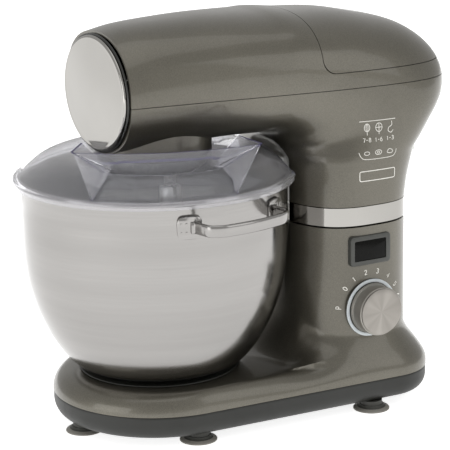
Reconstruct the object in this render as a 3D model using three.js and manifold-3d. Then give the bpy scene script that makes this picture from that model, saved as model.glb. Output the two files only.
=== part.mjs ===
// Planetary stand mixer with a tilting head, a lock-in steel bowl and a clear splash guard.
// Millimetres, +Z up. Built about the bowl axis (x = y = 0) with the nose towards -Y and the
// controls on the +X side; the last lines move the origin to the middle of the footprint.
import * as THREE from 'three';
import { mergeVertices } from 'three/addons/utils/BufferGeometryUtils.js';
import Module from 'manifold-3d';

const wasm = await Module();
wasm.setup();

// ---------------------------------------------------------------- driving dimensions
const GAP = 0.3;                  // clearance between two pieces that touch
const WALL = 3;                   // casing wall

const TRAY_Z = 9;                 // underside of the base tray
const PAINT_Z = 30;               // line where the dark tray meets the painted shell
const FOOT_TOP_Z = 48;            // flat top of the foot, round the bowl
const FLARE_TOP_Z = 72;           // where the foot has run out into the column
const SPLIT_Z = 166;              // head tilts off the column here
const BAND_TOP_Z = 184;           // top of the bright band
const FOOT_NOSE_R = 93;           // round front of the foot, on the bowl axis
const FOOT_REAR = { x: 55, y: 188, r: 46 };

const COLUMN = { y: 166, halfWidth: 86.5, halfDepth: 56, power: 2.9 };
const THROAT = { y: 92, z: 227, r: 18 };      // inner corner between head and column
const NOSE_Y = -50;               // front rim of the head casing
const NOSE_BOTTOM_Z = 241;
const SEAM_Z = 286;               // joint between lower and upper head casing
const COVER = { frontY: 120, bottomZ: 300, cornerR: 12 };

const BOWL_R = 113;               // outside of the bowl's straight wall
const BOWL_WALL = 1.2;
const RIM_Z = 217.5;
const BOWL_BOTTOM_Z = 50;
const GUARD_R = 120;

const HINGE = { y: 206, z: 166, pinR: 4, halfLength: 54 };
const TILT_MAX = 40;              // degrees
const MOTOR_Y = 155;
const TOOL_X = 28;                // planet offset
const GEAR_MODULE = 2;
const RING_TEETH = 40;
const PINION_TEETH = 12;
const BELT_Z = 272;
const LARGE_PULLEY_R = 44;
const MOTOR_PULLEY_R = 9;

const KNOB = { y: 162.7, z: 93, r: 21.5, length: 14.5 };
const SIDE_X = 87;                // flank of the column behind the controls
const LEVER = { y: 214, z: 213, halfWidth: 20, tipY: 262, thick: 8 };

// ---------------------------------------------------------------- finishes
const finish = (color, roughness, metalness) => ({ color, roughness, metalness });
const PAINT = finish(0x69625a, 0.35, 0.6);
const DARK_PLASTIC = finish(0x3c3c36, 0.6, 0);
const RUBBER = finish(0x82807a, 0.8, 0);
const CHROME = finish(0xc8c6be, 0.12, 1);
const STEEL = finish(0xbab7b2, 0.28, 1);
const CAST = finish(0xa9aaa8, 0.5, 0.9);
const COPPER = finish(0x9a6a48, 0.5, 0.8);
const CLEAR = finish(0xdfe2ee, 0.1, 0);
const PALE_PLASTIC = finish(0xc3cacd, 0.5, 0);
const BOARD = finish(0x2f5a3c, 0.7, 0);

// ---------------------------------------------------------------- helpers
const assembly = new THREE.Group();

function addPart(name, shape, look) {
  const geometry = shape.isBufferGeometry ? shape : toGeometry(shape);
  const mesh = new THREE.Mesh(geometry, new THREE.MeshStandardMaterial(look));
  mesh.name = name;
  assembly.add(mesh);
}

function bareCopy(geometry) {
  const copy = geometry.clone();
  copy.deleteAttribute('normal');
  copy.deleteAttribute('uv');
  return copy;
}

function toSolid(geometry) {
  const merged = mergeVertices(bareCopy(geometry), 1e-3);
  const vertProperties = new Float32Array(merged.attributes.position.array);
  const triVerts = new Uint32Array(merged.index.array);
  return new wasm.Manifold(new wasm.Mesh({ numProp: 3, vertProperties, triVerts }));
}

function toGeometry(solid) {
  const mesh = solid.getMesh();
  const geometry = new THREE.BufferGeometry();
  geometry.setAttribute('position', new THREE.BufferAttribute(mesh.vertProperties, 3));
  geometry.setIndex(new THREE.BufferAttribute(mesh.triVerts, 1));
  return geometry;
}

// Axis-aligned block between two corners.
function block(low, high) {
  const size = high.map((value, i) => value - low[i]);
  const geometry = new THREE.BoxGeometry(...size);
  geometry.translate(...low.map((value, i) => value + size[i] / 2));
  return toSolid(geometry);
}

// Turned solid about the vertical line through (x, y); the profile holds [radius, z] pairs.
function turned(profile, x = 0, y = 0, segments = 24) {
  const points = profile.map(([r, z]) => new THREE.Vector2(r, z));
  if (profile[0][0] > 0) points.push(points[0].clone());
  const geometry = new THREE.LatheGeometry(points, segments);
  geometry.rotateX(Math.PI / 2);
  geometry.translate(x, y, 0);
  return outward(toSolid(geometry), geometry);
}

function outward(solid, geometry) {
  if (solid.volume() > 0) return solid;
  const flipped = mergeVertices(bareCopy(geometry), 1e-3);
  const index = flipped.index.array;
  for (let i = 0; i < index.length; i += 3) {
    [index[i], index[i + 1]] = [index[i + 1], index[i]];
  }
  return toSolid(flipped);
}

// Plain round bar or disc.
function rod(radius, z0, z1, x = 0, y = 0, segments = 16) {
  return turned([[0, z0], [radius, z0], [radius, z1], [0, z1]], x, y, segments);
}

// Plain ring.
function ring(inner, outer, z0, z1, x = 0, y = 0, segments = 24) {
  return turned([[inner, z0], [outer, z0], [outer, z1], [inner, z1]], x, y, segments);
}

// Turns a solid made about +Z so that it stands about +X, then moves it.
function alongX(solid, x, y, z) {
  return solid.rotate([0, 90, 0]).translate([x, y, z]);
}

// Outline in the YZ plane, pushed out along X between two planes.
function extrudeX(points, x0, x1) {
  const shape = new THREE.Shape(points.map(([y, z]) => new THREE.Vector2(y, z)));
  return extrudeShapeX(shape, x0, x1);
}

function extrudeShapeX(shape, x0, x1) {
  const geometry = new THREE.ExtrudeGeometry(shape, {
    depth: x1 - x0, bevelEnabled: false, curveSegments: 6,
  });
  geometry.applyMatrix4(new THREE.Matrix4().set(0, 0, 1, x0, 1, 0, 0, 0, 0, 1, 0, 0, 0, 0, 0, 1));
  return toSolid(geometry);
}

// Closed skin through a row of rings with equal counts, capped flat at both ends.
function loft(rings) {
  const count = rings[0].length;
  const points = rings.flat();
  const index = [];
  for (let k = 0; k + 1 < rings.length; k += 1) {
    for (let i = 0; i < count; i += 1) {
      const a = k * count + i;
      const b = k * count + (i + 1) % count;
      index.push(a, b, b + count, a, b + count, a + count);
    }
  }
  for (const [k, flip] of [[0, true], [rings.length - 1, false]]) {
    const centre = new THREE.Vector3();
    rings[k].forEach((p) => centre.addScaledVector(p, 1 / count));
    points.push(centre);
    for (let i = 0; i < count; i += 1) {
      const edge = [k * count + i, k * count + (i + 1) % count];
      if (flip) edge.reverse();
      index.push(...edge, points.length - 1);
    }
  }
  const geometry = new THREE.BufferGeometry().setFromPoints(points);
  geometry.setIndex(index);
  return outward(toSolid(geometry), geometry);
}

// Sheet of even thickness: two rows of points and the same rows moved by an offset, joined
// by four long faces and closed by one face at each end.
function slab([low, high], offset) {
  const moved = (row) => row.map((p) => p.clone().add(offset(p)));
  const rows = [low, high, moved(high), moved(low)];
  return loft(low.map((point, i) => rows.map((row) => row[i])));
}

function union(solids) {
  return solids.reduce((sum, solid) => sum.add(solid));
}

// Main body of a cut solid, without the slivers that the cut leaves at its edge.
function mainBody(solid) {
  return solid.decompose().sort((a, b) => b.volume() - a.volume())[0];
}

// Smooth curve through [key, value] pairs.
function curve(pairs) {
  return (key) => {
    let i = 0;
    while (i < pairs.length - 2 && key > pairs[i + 1][0]) i += 1;
    const [k0, v0] = pairs[i];
    const [k1, v1] = pairs[i + 1];
    const before = pairs[Math.max(i - 1, 0)];
    const after = pairs[Math.min(i + 2, pairs.length - 1)];
    const span = k1 - k0;
    const slope0 = i > 0 ? (v1 - before[1]) / (k1 - before[0]) : (v1 - v0) / span;
    const slope1 = i < pairs.length - 2 ? (after[1] - v0) / (after[0] - k0) : (v1 - v0) / span;
    const t = Math.min(Math.max((key - k0) / span, 0), 1);
    const bend = (v, s) => v * span * s;
    return v0 * (2 * t ** 3 - 3 * t ** 2 + 1) + v1 * (3 * t ** 2 - 2 * t ** 3)
      + bend(t ** 3 - 2 * t ** 2 + t, slope0) + bend(t ** 3 - t ** 2, slope1);
  };
}

// Point on a superellipse with unit half axes.
function superPoint(angle, power) {
  const c = Math.cos(angle);
  const s = Math.sin(angle);
  return [Math.sign(c) * Math.abs(c) ** (2 / power), Math.sign(s) * Math.abs(s) ** (2 / power)];
}

// ---------------------------------------------------------------- foot and lower column
// Outline of the foot: the hull of one round nose and two round rear corners, evenly stepped.
function footOutline(inset, count) {
  const circles = [[0, 0, FOOT_NOSE_R - inset]];
  for (const side of [1, -1]) {
    circles.push([side * FOOT_REAR.x, FOOT_REAR.y, FOOT_REAR.r - inset]);
  }
  const steps = 720;
  const fine = [];
  for (let i = 0; i <= steps; i += 1) {
    const angle = (i / steps) * 2 * Math.PI - Math.PI / 2;
    const normal = [Math.cos(angle), Math.sin(angle)];
    const reach = circles.map(([x, y, r]) => x * normal[0] + y * normal[1] + r);
    const [x, y, r] = circles[reach.indexOf(Math.max(...reach))];
    fine.push(new THREE.Vector2(x + r * normal[0], y + r * normal[1]));
  }
  const lengths = [0];
  for (let i = 1; i < fine.length; i += 1) {
    lengths.push(lengths[i - 1] + fine[i].distanceTo(fine[i - 1]));
  }
  const total = lengths[lengths.length - 1];
  const outline = [];
  let j = 0;
  for (let i = 0; i < count; i += 1) {
    const target = (i / count) * total;
    while (lengths[j + 1] < target) j += 1;
    const share = (target - lengths[j]) / (lengths[j + 1] - lengths[j]);
    outline.push(fine[j].clone().lerp(fine[j + 1], share));
  }
  return outline;
}

// Column outline on the ray from the column's middle towards a foot point.
function columnPoint(foot, inset) {
  const dx = foot.x;
  const dy = foot.y - COLUMN.y;
  const halfWidth = COLUMN.halfWidth - inset;
  const halfDepth = COLUMN.halfDepth - inset;
  const { power } = COLUMN;
  const scale = (Math.abs(dx) / halfWidth) ** power + (Math.abs(dy) / halfDepth) ** power;
  return new THREE.Vector2(dx, dy).multiplyScalar(scale ** (-1 / power))
    .add(new THREE.Vector2(0, COLUMN.y));
}

// Rise from the paint line to the column: [share of the way in, height] at station s.
// Where the way in is short it is one S-curve; where it is long it is a round shoulder,
// a flat top and a hollow fillet.
function flare(distance, s) {
  const shoulder = 20;
  const fillet = 42;
  const smooth = s * s * (3 - 2 * s);
  const steep = [smooth, PAINT_Z + 4 + (FLARE_TOP_Z - PAINT_Z - 4) * s];
  let flat;
  if (s < 0.35) {
    const turn = (s / 0.35) * (Math.PI / 2);
    flat = [shoulder * (1 - Math.cos(turn)) / distance,
      PAINT_Z + (FOOT_TOP_Z - PAINT_Z) * Math.sin(turn)];
  } else if (s < 0.5) {
    const run = (s - 0.35) / 0.15;
    const length = distance - shoulder - fillet;
    flat = [(shoulder + length * run) / distance, FOOT_TOP_Z];
  } else {
    const turn = ((s - 0.5) / 0.5) * (Math.PI / 2);
    flat = [1 - fillet * (1 - Math.sin(turn)) / distance,
      FOOT_TOP_Z + fillet * (1 - Math.cos(turn))];
  }
  const share = THREE.MathUtils.smoothstep(distance, 20, 80);
  return [0, 1].map((i) => steep[i] * (1 - share) + flat[i] * share);
}

const FLARE_STATIONS = [0, 0.15, 0.27, 0.35, 0.5, 0.65, 0.8, 1];

function baseBody(inset, bottomZ, topZ) {
  const count = 40;
  const foot = footOutline(inset, count);
  const column = foot.map((p) => columnPoint(p, inset));
  const level = (points, z) => points.map((p) => new THREE.Vector3(p.x, p.y, z));
  const rings = [level(foot, bottomZ)];
  for (const s of FLARE_STATIONS) {
    rings.push(foot.map((p, i) => {
      const [share, z] = flare(p.distanceTo(column[i]), s);
      const at = p.clone().lerp(column[i], share);
      return new THREE.Vector3(at.x, at.y, z - inset);
    }));
  }
  rings.push(level(column, topZ));
  return loft(rings);
}

// Slice of the column's outline between two levels.
function columnSlice(inset, z0, z1) {
  const count = 32;
  return loft([z0, z1].map((z) => {
    const points = [];
    for (let i = 0; i < count; i += 1) {
      const [c, s] = superPoint((i / count) * 2 * Math.PI, COLUMN.power);
      points.push(new THREE.Vector3((COLUMN.halfWidth - inset) * c,
        COLUMN.y + (COLUMN.halfDepth - inset) * s, z));
    }
    return points;
  }));
}

// Space that the head's rear lower edge sweeps through as the head tilts.
function tiltSweep() {
  const behindHinge = block([-100, HINGE.y - 1, SPLIT_Z - 1], [100, 260, SPLIT_Z + 6]);
  const edge = columnSlice(-1.3, SPLIT_Z, SPLIT_Z + 4).intersect(behindHinge)
    .translate([0, -HINGE.y, -HINGE.z]);
  const copies = [];
  for (let angle = 0; angle <= TILT_MAX + 1; angle += 4) {
    copies.push(edge.rotate([-angle, 0, 0]).translate([0, HINGE.y, HINGE.z]));
  }
  return union(copies);
}

// Outside of the bowl, and the space round it that the column keeps clear.
const BOWL_PROFILE = [
  [58, BOWL_BOTTOM_Z], [68, 52.4], [77, 58.8], [86.5, 70.5], [96.5, 88], [105.5, 111],
  [111, 137], [BOWL_R, 166],
];

function bowlClearance(margin) {
  const points = BOWL_PROFILE.map(([r, z]) => [r + margin, z]);
  const dome = [[BOWL_R + margin, 222], [BOWL_R + margin - 8, 235],
    [BOWL_R + margin - 22, NOSE_BOTTOM_Z - 0.5], [0, NOSE_BOTTOM_Z - 0.5]];
  return turned([[0, FOOT_TOP_Z + 3.5], [58 + margin, FOOT_TOP_Z + 3.5], ...points.slice(1),
    ...dome], 0, 0, 40);
}

const bowlRelief = bowlClearance(4.5);
const bowlReliefInner = bowlClearance(4.5 + WALL);

const baseOuter = baseBody(0, PAINT_Z, SPLIT_Z - GAP).subtract(bowlRelief);
const baseInner = baseBody(WALL, PAINT_Z - 5, SPLIT_Z - WALL - GAP).subtract(bowlReliefInner);
const deckOpening = block([-57, 184, SPLIT_Z - 8], [57, 215, SPLIT_Z + 1]);
const ringSeat = rod(61.6, FOOT_TOP_Z - 10, FOOT_TOP_Z + 4, 0, 0, 32);
const encoderHole = alongX(rod(5, -8, 8), SIDE_X, KNOB.y, KNOB.z);
const displayHole = block([SIDE_X - 8, 145.5, 136.3], [SIDE_X + 8, 177.3, 153.7]);
const cordHole = block([-9, 214, 60], [9, 245, 78]);
const hookSlot = block([-8, 171, SPLIT_Z - 8], [8, 186, SPLIT_Z + 5]);
addPart('base_shell', mainBody(baseOuter.subtract(baseInner).subtract(deckOpening)
  .subtract(hookSlot).subtract(ringSeat).subtract(tiltSweep()).subtract(encoderHole)
  .subtract(displayHole).subtract(cordHole)), PAINT);

// Dark tray that closes the foot from below, with a rounded lower edge.
function trayRings(inset, levels) {
  return levels.map(([more, z]) => footOutline(inset + more, 40)
    .map((p) => new THREE.Vector3(p.x, p.y, z)));
}

const trayOuter = loft(trayRings(0.4, [[11, TRAY_Z], [4, TRAY_Z + 2.5], [1, TRAY_Z + 8],
  [0, PAINT_Z - GAP]]));
const trayInner = loft(trayRings(0.4 + WALL, [[10, TRAY_Z + WALL], [1, TRAY_Z + 9],
  [0, PAINT_Z + 5]]));
addPart('base_tray', trayOuter.subtract(trayInner), DARK_PLASTIC);

const FEET = {
  foot_front: [0, -74], foot_mid_right: [72, -2], foot_mid_left: [-72, -2],
  foot_rear_right: [86, 164], foot_rear_left: [-86, 164],
};
for (const [name, [x, y]] of Object.entries(FEET)) {
  const profile = [[0, 0], [16, 0], [15.4, 1.6], [10.5, 4.6], [9.5, TRAY_Z - GAP],
    [0, TRAY_Z - GAP]];
  addPart(name, turned(profile, x, y, 16), RUBBER);
}

// ---------------------------------------------------------------- bowl lock and bowl
const lockRing = turned([[59.7, FOOT_TOP_Z - 8], [60.7, FOOT_TOP_Z - 8], [60.7, FOOT_TOP_Z + 0.6],
  [69.6, FOOT_TOP_Z + 0.6], [68.8, FOOT_TOP_Z + 1.7], [59.7, FOOT_TOP_Z + 1.7]], 0, 0, 32);
const lockFloor = turned([[10, FOOT_TOP_Z - 10], [60.7, FOOT_TOP_Z - 10],
  [60.7, FOOT_TOP_Z - 7.9], [10, FOOT_TOP_Z - 7.9]], 0, 0, 32);
addPart('bowl_lock_ring', lockRing.add(lockFloor), DARK_PLASTIC);

// Bowl skin: straight wall, deep round bottom and a rolled rim.
const outerWall = [...BOWL_PROFILE, [BOWL_R, RIM_Z - 4]];
const rim = [[BOWL_R + 2.4, RIM_Z - 3], [BOWL_R + 2, RIM_Z], [BOWL_R - 0.6, RIM_Z]];
const innerWall = outerWall.map(([r, z], i) => [r - BOWL_WALL, i === 0 ? z + BOWL_WALL : z + 0.8])
  .reverse();
const bowlSkin = [[0, BOWL_BOTTOM_Z], ...outerWall, ...rim, ...innerWall,
  [0, BOWL_BOTTOM_Z + BOWL_WALL]];
addPart('mixing_bowl', turned(bowlSkin, 0, 0, 36), STEEL);

const footRing = turned([[50, BOWL_BOTTOM_Z - 9], [57, BOWL_BOTTOM_Z - 9],
  [57, BOWL_BOTTOM_Z - GAP], [50, BOWL_BOTTOM_Z - GAP]], 0, 0, 32);
const lugs = [0, 1, 2].map((i) => {
  const lug = block([56, -6, BOWL_BOTTOM_Z - 8], [58.6, 6, BOWL_BOTTOM_Z - 5]);
  return lug.rotate([0, 0, 40 + i * 120]);
});
addPart('bowl_foot_ring', union([footRing, ...lugs]), STEEL);

// Strap handle: an arc of flat bar, bent in at both ends onto spot-welded plates.
// Bearings are measured from the nose (-Y) towards the controls (+X).
const bearing = (degrees, radius, z) => {
  const angle = THREE.MathUtils.degToRad(degrees);
  return new THREE.Vector3(radius * Math.sin(angle), -radius * Math.cos(angle), z);
};
const HANDLE = { from: 78, to: 121, z: 196, plateR: BOWL_R + GAP, barR: 133, halfHeight: 4.5 };

function arcBar(from, to, r0, r1, z0, z1, steps) {
  const grid = [z0, z1].map((z) => {
    const row = [];
    for (let i = 0; i <= steps; i += 1) row.push(bearing(from + (to - from) * (i / steps), r0, z));
    return row;
  });
  const outwardStep = (p) => new THREE.Vector3(p.x, p.y, 0).normalize().multiplyScalar(r1 - r0);
  return slab(grid, outwardStep);
}

function handlePieces() {
  const { from, to, z, plateR, barR, halfHeight } = HANDLE;
  const bar = arcBar(from + 4, to - 4, barR, barR + 4, z - halfHeight, z + halfHeight, 10);
  const plates = [from, to].map((at) => arcBar(at - 5, at + 5, plateR, plateR + 1.6,
    z - 9, z + 9, 3));
  const legs = [[from, 1], [to, -1]].map(([at, turn]) => {
    const inner = [bearing(at, plateR + 1, z - halfHeight), bearing(at + turn * 4, plateR + 1,
      z - halfHeight)];
    const outer = [bearing(at + turn * 3, barR + 4, z - halfHeight),
      bearing(at + turn * 6, barR + 4, z - halfHeight)];
    return slab([inner, outer], () => new THREE.Vector3(0, 0, 2 * halfHeight));
  });
  return union([bar, ...plates, ...legs]);
}
addPart('bowl_handle', handlePieces(), STEEL);

// ---------------------------------------------------------------- head casing
const topLine = curve([[NOSE_Y - 3, 341.5], [-28, 346.2], [9, 348.8], [45, 349.9], [92, 349.5]]);
const bottomLine = curve([[NOSE_Y - 3, NOSE_BOTTOM_Z], [0, 243], [45, 245], [92, 245]]);
const halfWidthLine = curve([[NOSE_Y - 3, 60], [0, 66.5], [50, 73], [92, 78.5]]);
const turnWidth = curve([[0, 78.5], [30, 82], [60, 85], [90, 86.5]]);
const turnReach = curve([[0, 122.5], [20, 127.5], [40, 149], [55, 175], [66, 187], [74, 182],
  [82, 160], [90, 141]]);
const rearLine = curve([[BAND_TOP_Z, 222], [203, 225.5], [THROAT.z, 233]]);

// Sections of the casing from the nose back, round the throat and down to the band.
// Each has an origin, a direction from its inner to its outer edge, both reaches along it,
// a half width and a roundness.
function headSections() {
  const sections = [];
  const roundness = (share) => 2.25 + 0.65 * share;
  for (const y of [NOSE_Y, -34, -5, 40]) {
    sections.push({ y, z: 0, dir: [0, 1], inner: bottomLine(y), outer: topLine(y),
      width: halfWidthLine(y), power: roundness((y - NOSE_Y) / 400) });
  }
  for (let angle = 0; angle <= 90; angle += 11.25) {
    const a = THREE.MathUtils.degToRad(angle);
    sections.push({ y: THROAT.y, z: THROAT.z, dir: [Math.sin(a), Math.cos(a)], inner: THROAT.r,
      outer: turnReach(angle), width: turnWidth(angle), power: roundness(0.35 + 0.65 * angle / 90) });
  }
  for (const z of [205, BAND_TOP_Z]) {
    sections.push({ y: 0, z, dir: [1, 0], inner: THROAT.y + THROAT.r, outer: rearLine(z),
      width: COLUMN.halfWidth, power: COLUMN.power });
  }
  return sections;
}

function headBody(inset) {
  const count = 32;
  const sections = headSections();
  const last = sections.length - 1;
  return loft(sections.map((section, k) => {
    const { dir, width, power } = section;
    const middle = (section.inner + section.outer) / 2;
    const half = (section.outer - section.inner) / 2 - inset;
    const overrun = inset > 0 ? 6 : 0;
    const y0 = section.y - (k === 0 ? overrun : 0);
    const z0 = section.z - (k === last ? overrun : 0);
    const points = [];
    for (let i = 0; i < count; i += 1) {
      const [c, s] = superPoint((i / count) * 2 * Math.PI, power);
      const reach = middle + half * s;
      points.push(new THREE.Vector3((width - inset) * c, y0 + dir[0] * reach, z0 + dir[1] * reach));
    }
    return points;
  }));
}

const FAR = 400;
const headOuter = headBody(0).subtract(bowlRelief);
const headInner = headBody(WALL).subtract(bowlReliefInner);
const headSkin = headOuter.subtract(headInner);
const above = (z) => block([-FAR, -FAR, z], [FAR, FAR, FAR + z]);
const below = (z) => block([-FAR, -FAR, z - FAR], [FAR, FAR, z]);

// Region of the rear cover: behind and above a seam with a round lower corner.
function coverRegion(clearance) {
  const front = COVER.frontY + clearance;
  const bottom = COVER.bottomZ + clearance;
  const shape = new THREE.Shape();
  shape.moveTo(front, FAR);
  shape.lineTo(front, bottom + COVER.cornerR);
  shape.absarc(front + COVER.cornerR, bottom + COVER.cornerR, COVER.cornerR, Math.PI,
    1.5 * Math.PI);
  shape.lineTo(FAR, bottom);
  shape.lineTo(FAR, FAR);
  return extrudeShapeX(shape, -FAR, FAR);
}

const portFloor = block([-FAR, COVER.frontY - 2, COVER.bottomZ - 6], [FAR, FAR, COVER.bottomZ - 3]);
const portWall = block([-FAR, COVER.frontY - 3.2, COVER.bottomZ - 6],
  [FAR, COVER.frontY - GAP, FAR]);
const headCore = headBody(WALL - 0.2).subtract(bowlReliefInner);
const portHole = rod(20, COVER.bottomZ - 10, COVER.bottomZ + 5, 0, MOTOR_Y, 32);
const upperSkin = headSkin.intersect(above(SEAM_Z + GAP / 2)).subtract(coverRegion(-GAP / 2));
const portDeck = portFloor.add(portWall).intersect(headCore).subtract(portHole);
addPart('head_upper_shell', upperSkin.add(portDeck), PAINT);
addPart('rear_cover', headSkin.intersect(coverRegion(GAP / 2)), PAINT);

// Lower casing with the upper column, the gear boss under the head and the lever slot.
const GEAR_BOSS = { inner: 46.3, outer: 49.5, bottomZ: 236 };
const bossRing = ring(GEAR_BOSS.inner, GEAR_BOSS.outer, GEAR_BOSS.bottomZ, 251, 0, 0, 32);
const hubOpening = rod(GEAR_BOSS.inner, GEAR_BOSS.bottomZ - 5, 251, 0, 0, 32);
const bossInHead = rod(GEAR_BOSS.outer, GEAR_BOSS.bottomZ, 275, 0, 0, 32).subtract(headInner).add(bossRing);
const leverSlot = block([-21.5, 215, LEVER.z - 9], [21.5, 245, LEVER.z + 6]);
addPart('head_lower_shell', headSkin.intersect(below(SEAM_Z - GAP / 2)).add(bossInHead)
  .subtract(hubOpening).subtract(leverSlot), PAINT);

// Bright band that closes the underside of the upper column.
const bandBottom = SPLIT_Z + 0.8;
const bandSkin = columnSlice(0, bandBottom, BAND_TOP_Z - GAP).subtract(bowlRelief)
  .subtract(columnSlice(WALL, bandBottom + 2.5, BAND_TOP_Z + 1).subtract(bowlReliefInner));
const hingeOpening = block([-57, 184, bandBottom - 1], [57, 215, bandBottom + 4]);
addPart('column_band', bandSkin.subtract(hingeOpening).subtract(hookSlot), CHROME);

// Nose: dark retaining ring and a bright, slightly domed cap with a rolled edge.
const NOSE_MIDDLE_Z = (NOSE_BOTTOM_Z + 341.5) / 2 - 0.4;
function noseDisc(layers) {
  const count = 32;
  return loft(layers.map(([halfX, halfZ, y]) => {
    const points = [];
    for (let i = 0; i < count; i += 1) {
      const angle = (i / count) * 2 * Math.PI;
      points.push(new THREE.Vector3(halfX * Math.cos(angle), y,
        NOSE_MIDDLE_Z + halfZ * Math.sin(angle)));
    }
    return points;
  }));
}
const noseHole = noseDisc([[40, 32, NOSE_Y - 4], [40, 32, NOSE_Y + 8]]);
addPart('nose_ring', noseDisc([[57.8, 48.6, NOSE_Y - GAP], [58.4, 49.2, NOSE_Y - 1.2],
  [57.6, 48.4, NOSE_Y - 2]]).subtract(noseHole), DARK_PLASTIC);
addPart('nose_cap', noseDisc([[56.5, 47.6, NOSE_Y - 2 - GAP], [57, 48, NOSE_Y - 3.2],
  [55.8, 46.8, NOSE_Y - 4.6], [40, 33, NOSE_Y - 6.2], [20, 16, NOSE_Y - 7]]), CHROME);

// ---------------------------------------------------------------- splash guard
const GUARD_WALL = 2;
const guardOuter = [[GUARD_R - 0.4, 212], [GUARD_R, 218.6], [113, 221.6], [107, 227], [97, 234],
  [84, 238.4], [70, 240], [49.9, 240]];
const guardInner = [[49.9, 238], [69.6, 238], [83.4, 236.4], [96, 232], [105.4, 225.6],
  [112.2, 219.7], [118, 217], [118, 212]];
const guardRearCut = block([-GUARD_R - 5, 96, 200], [GUARD_R + 5, GUARD_R + 5, 250]);

// Pouring chute, in its own frame: d runs out from the bowl axis, t along the rim.
const CHUTE = { bearing: 69, footZ: 233, topZ: 256 };
function chutePoint([d, t], z) {
  const a = THREE.MathUtils.degToRad(CHUTE.bearing);
  return new THREE.Vector3(d * Math.sin(a) + t * Math.cos(a), -d * Math.cos(a) + t * Math.sin(a), z);
}
const chuteTop = [[50, -63], [87, -75], [100, -38], [104, 0], [100, 38], [87, 75], [50, 63]];
const chuteFoot = [[54, -42], [74, -46], [84, -24], [87, 0], [84, 24], [74, 46], [54, 42]];
const chuteRow = (outline, z) => outline.map((p) => chutePoint(p, z));
const chuteMiddle = chutePoint([70, 0], 0);
const chuteStep = (length) => (p) => new THREE.Vector3(p.x - chuteMiddle.x, p.y - chuteMiddle.y, 0)
  .normalize().multiplyScalar(length);
const chuteWall = slab([chuteRow(chuteFoot, CHUTE.footZ), chuteRow(chuteTop, CHUTE.topZ)],
  chuteStep(GUARD_WALL));
const chuteLegs = [1, -1].map((side) => {
  const upper = [chutePoint([78, side * 62], 246), chutePoint([92, side * 60], 246)];
  const lower = [chutePoint([95, side * 56], 220.5), chutePoint([103, side * 54], 219.5)];
  const across = chutePoint([0, side * GUARD_WALL], 0);
  return slab([lower, upper], () => across);
});

// Mouth in the guard: the chute's own outline with a clearance, run down through the dome.
const MOUTH_CLEARANCE = 1.6;
const widened = (row) => row.map((p) => p.clone()
  .add(chuteStep(GUARD_WALL + MOUTH_CLEARANCE)(p)));
const chuteMouth = loft([widened(chuteRow(chuteFoot, CHUTE.footZ - 10)),
  widened(chuteRow(chuteFoot, CHUTE.footZ)), widened(chuteRow(chuteTop, CHUTE.topZ + 1))]);
const openDome = turned([...guardOuter, ...guardInner], 0, 0, 36).subtract(chuteMouth);
const domeClearance = [[-GAP, -GAP], [GAP, GAP], [-GAP, GAP], [GAP, -GAP], [0, GAP], [0, -GAP]]
  .map(([out, up]) => turned([...guardOuter, ...guardInner].map(([r, z]) => [r + out, z + up]),
    0, 0, 36));
addPart('splash_guard', openDome.subtract(guardRearCut), CLEAR);
addPart('pouring_chute', union([chuteWall, ...chuteLegs.map((leg) => mainBody(
  leg.subtract(union(domeClearance))))]).subtract(guardRearCut), CLEAR);

// ---------------------------------------------------------------- controls
const knobBody = turned([[0, 0], [KNOB.r + 0.6, 0], [KNOB.r, 3], [KNOB.r, KNOB.length - 1],
  [KNOB.r - 1, KNOB.length], [0, KNOB.length]], 0, 0, 32);
const encoderSocket = rod(3.1, -1, 11.8, 0, 0, 16);
addPart('speed_knob', alongX(knobBody.subtract(encoderSocket), SIDE_X + 1.6, KNOB.y, KNOB.z),
  DARK_PLASTIC);
addPart('knob_cap', alongX(rod(KNOB.r - 1.2, 0, 1, 0, 0, 32), SIDE_X + 1.6 + KNOB.length + GAP,
  KNOB.y, KNOB.z), STEEL);
addPart('dial_ring', alongX(ring(KNOB.r + 1.2, 25.4, 0, 1.3, 0, 0, 32), SIDE_X + GAP,
  KNOB.y, KNOB.z), PALE_PLASTIC);
addPart('speed_encoder', alongX(rod(3, 0, 18, 0, 0, 12).add(rod(10, -9, 0.5, 0, 0, 16)),
  SIDE_X - 5, KNOB.y, KNOB.z), CAST);
const bezelOuter = block([SIDE_X - 2, 141.5, 132], [SIDE_X + 1.4, 182.5, 158]);
const bezelHole = block([SIDE_X - 3, 145.2, 136], [SIDE_X + 3, 177.6, 154]);
addPart('display_bezel', bezelOuter.subtract(block([SIDE_X - 3, 130, 120],
  [SIDE_X + GAP, 190, 170]).subtract(bezelHole)).subtract(bezelHole), DARK_PLASTIC);
addPart('display_window', block([SIDE_X - 3, 145.5, 136.3], [SIDE_X + 0.9, 177.3, 153.7]),
  DARK_PLASTIC);
addPart('control_board', block([SIDE_X - 22, 135, 105], [SIDE_X - 20, 190, 158]), BOARD);
addPart('cord_gland', block([-8.7, 208, 60.3], [8.7, 236, 77.7])
  .subtract(rod(4, -40, 40).rotate([90, 0, 0]).translate([0, 222, 69])), DARK_PLASTIC);

// ---------------------------------------------------------------- hinge and latch
const hingeAxisRod = (radius, x0, x1) => alongX(rod(radius, x0, x1), 0, HINGE.y, HINGE.z);
addPart('hinge_pin', hingeAxisRod(HINGE.pinR, -HINGE.halfLength, HINGE.halfLength), STEEL);

function hingeBracket() {
  const ears = [1, -1].map((side) => {
    const x = [46, 52].map((value) => side * value).sort((a, b) => a - b);
    const ear = block([x[0], 200, 138], [x[1], 212, HINGE.z]);
    return ear.add(hingeAxisRod(6.5, x[0], x[1]));
  });
  const plate = block([-52, 186, 138], [52, 212, 142]);
  return union([plate, ...ears]).subtract(hingeAxisRod(HINGE.pinR + 0.1, -90, 90));
}
addPart('hinge_bracket', hingeBracket(), CAST);

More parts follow.
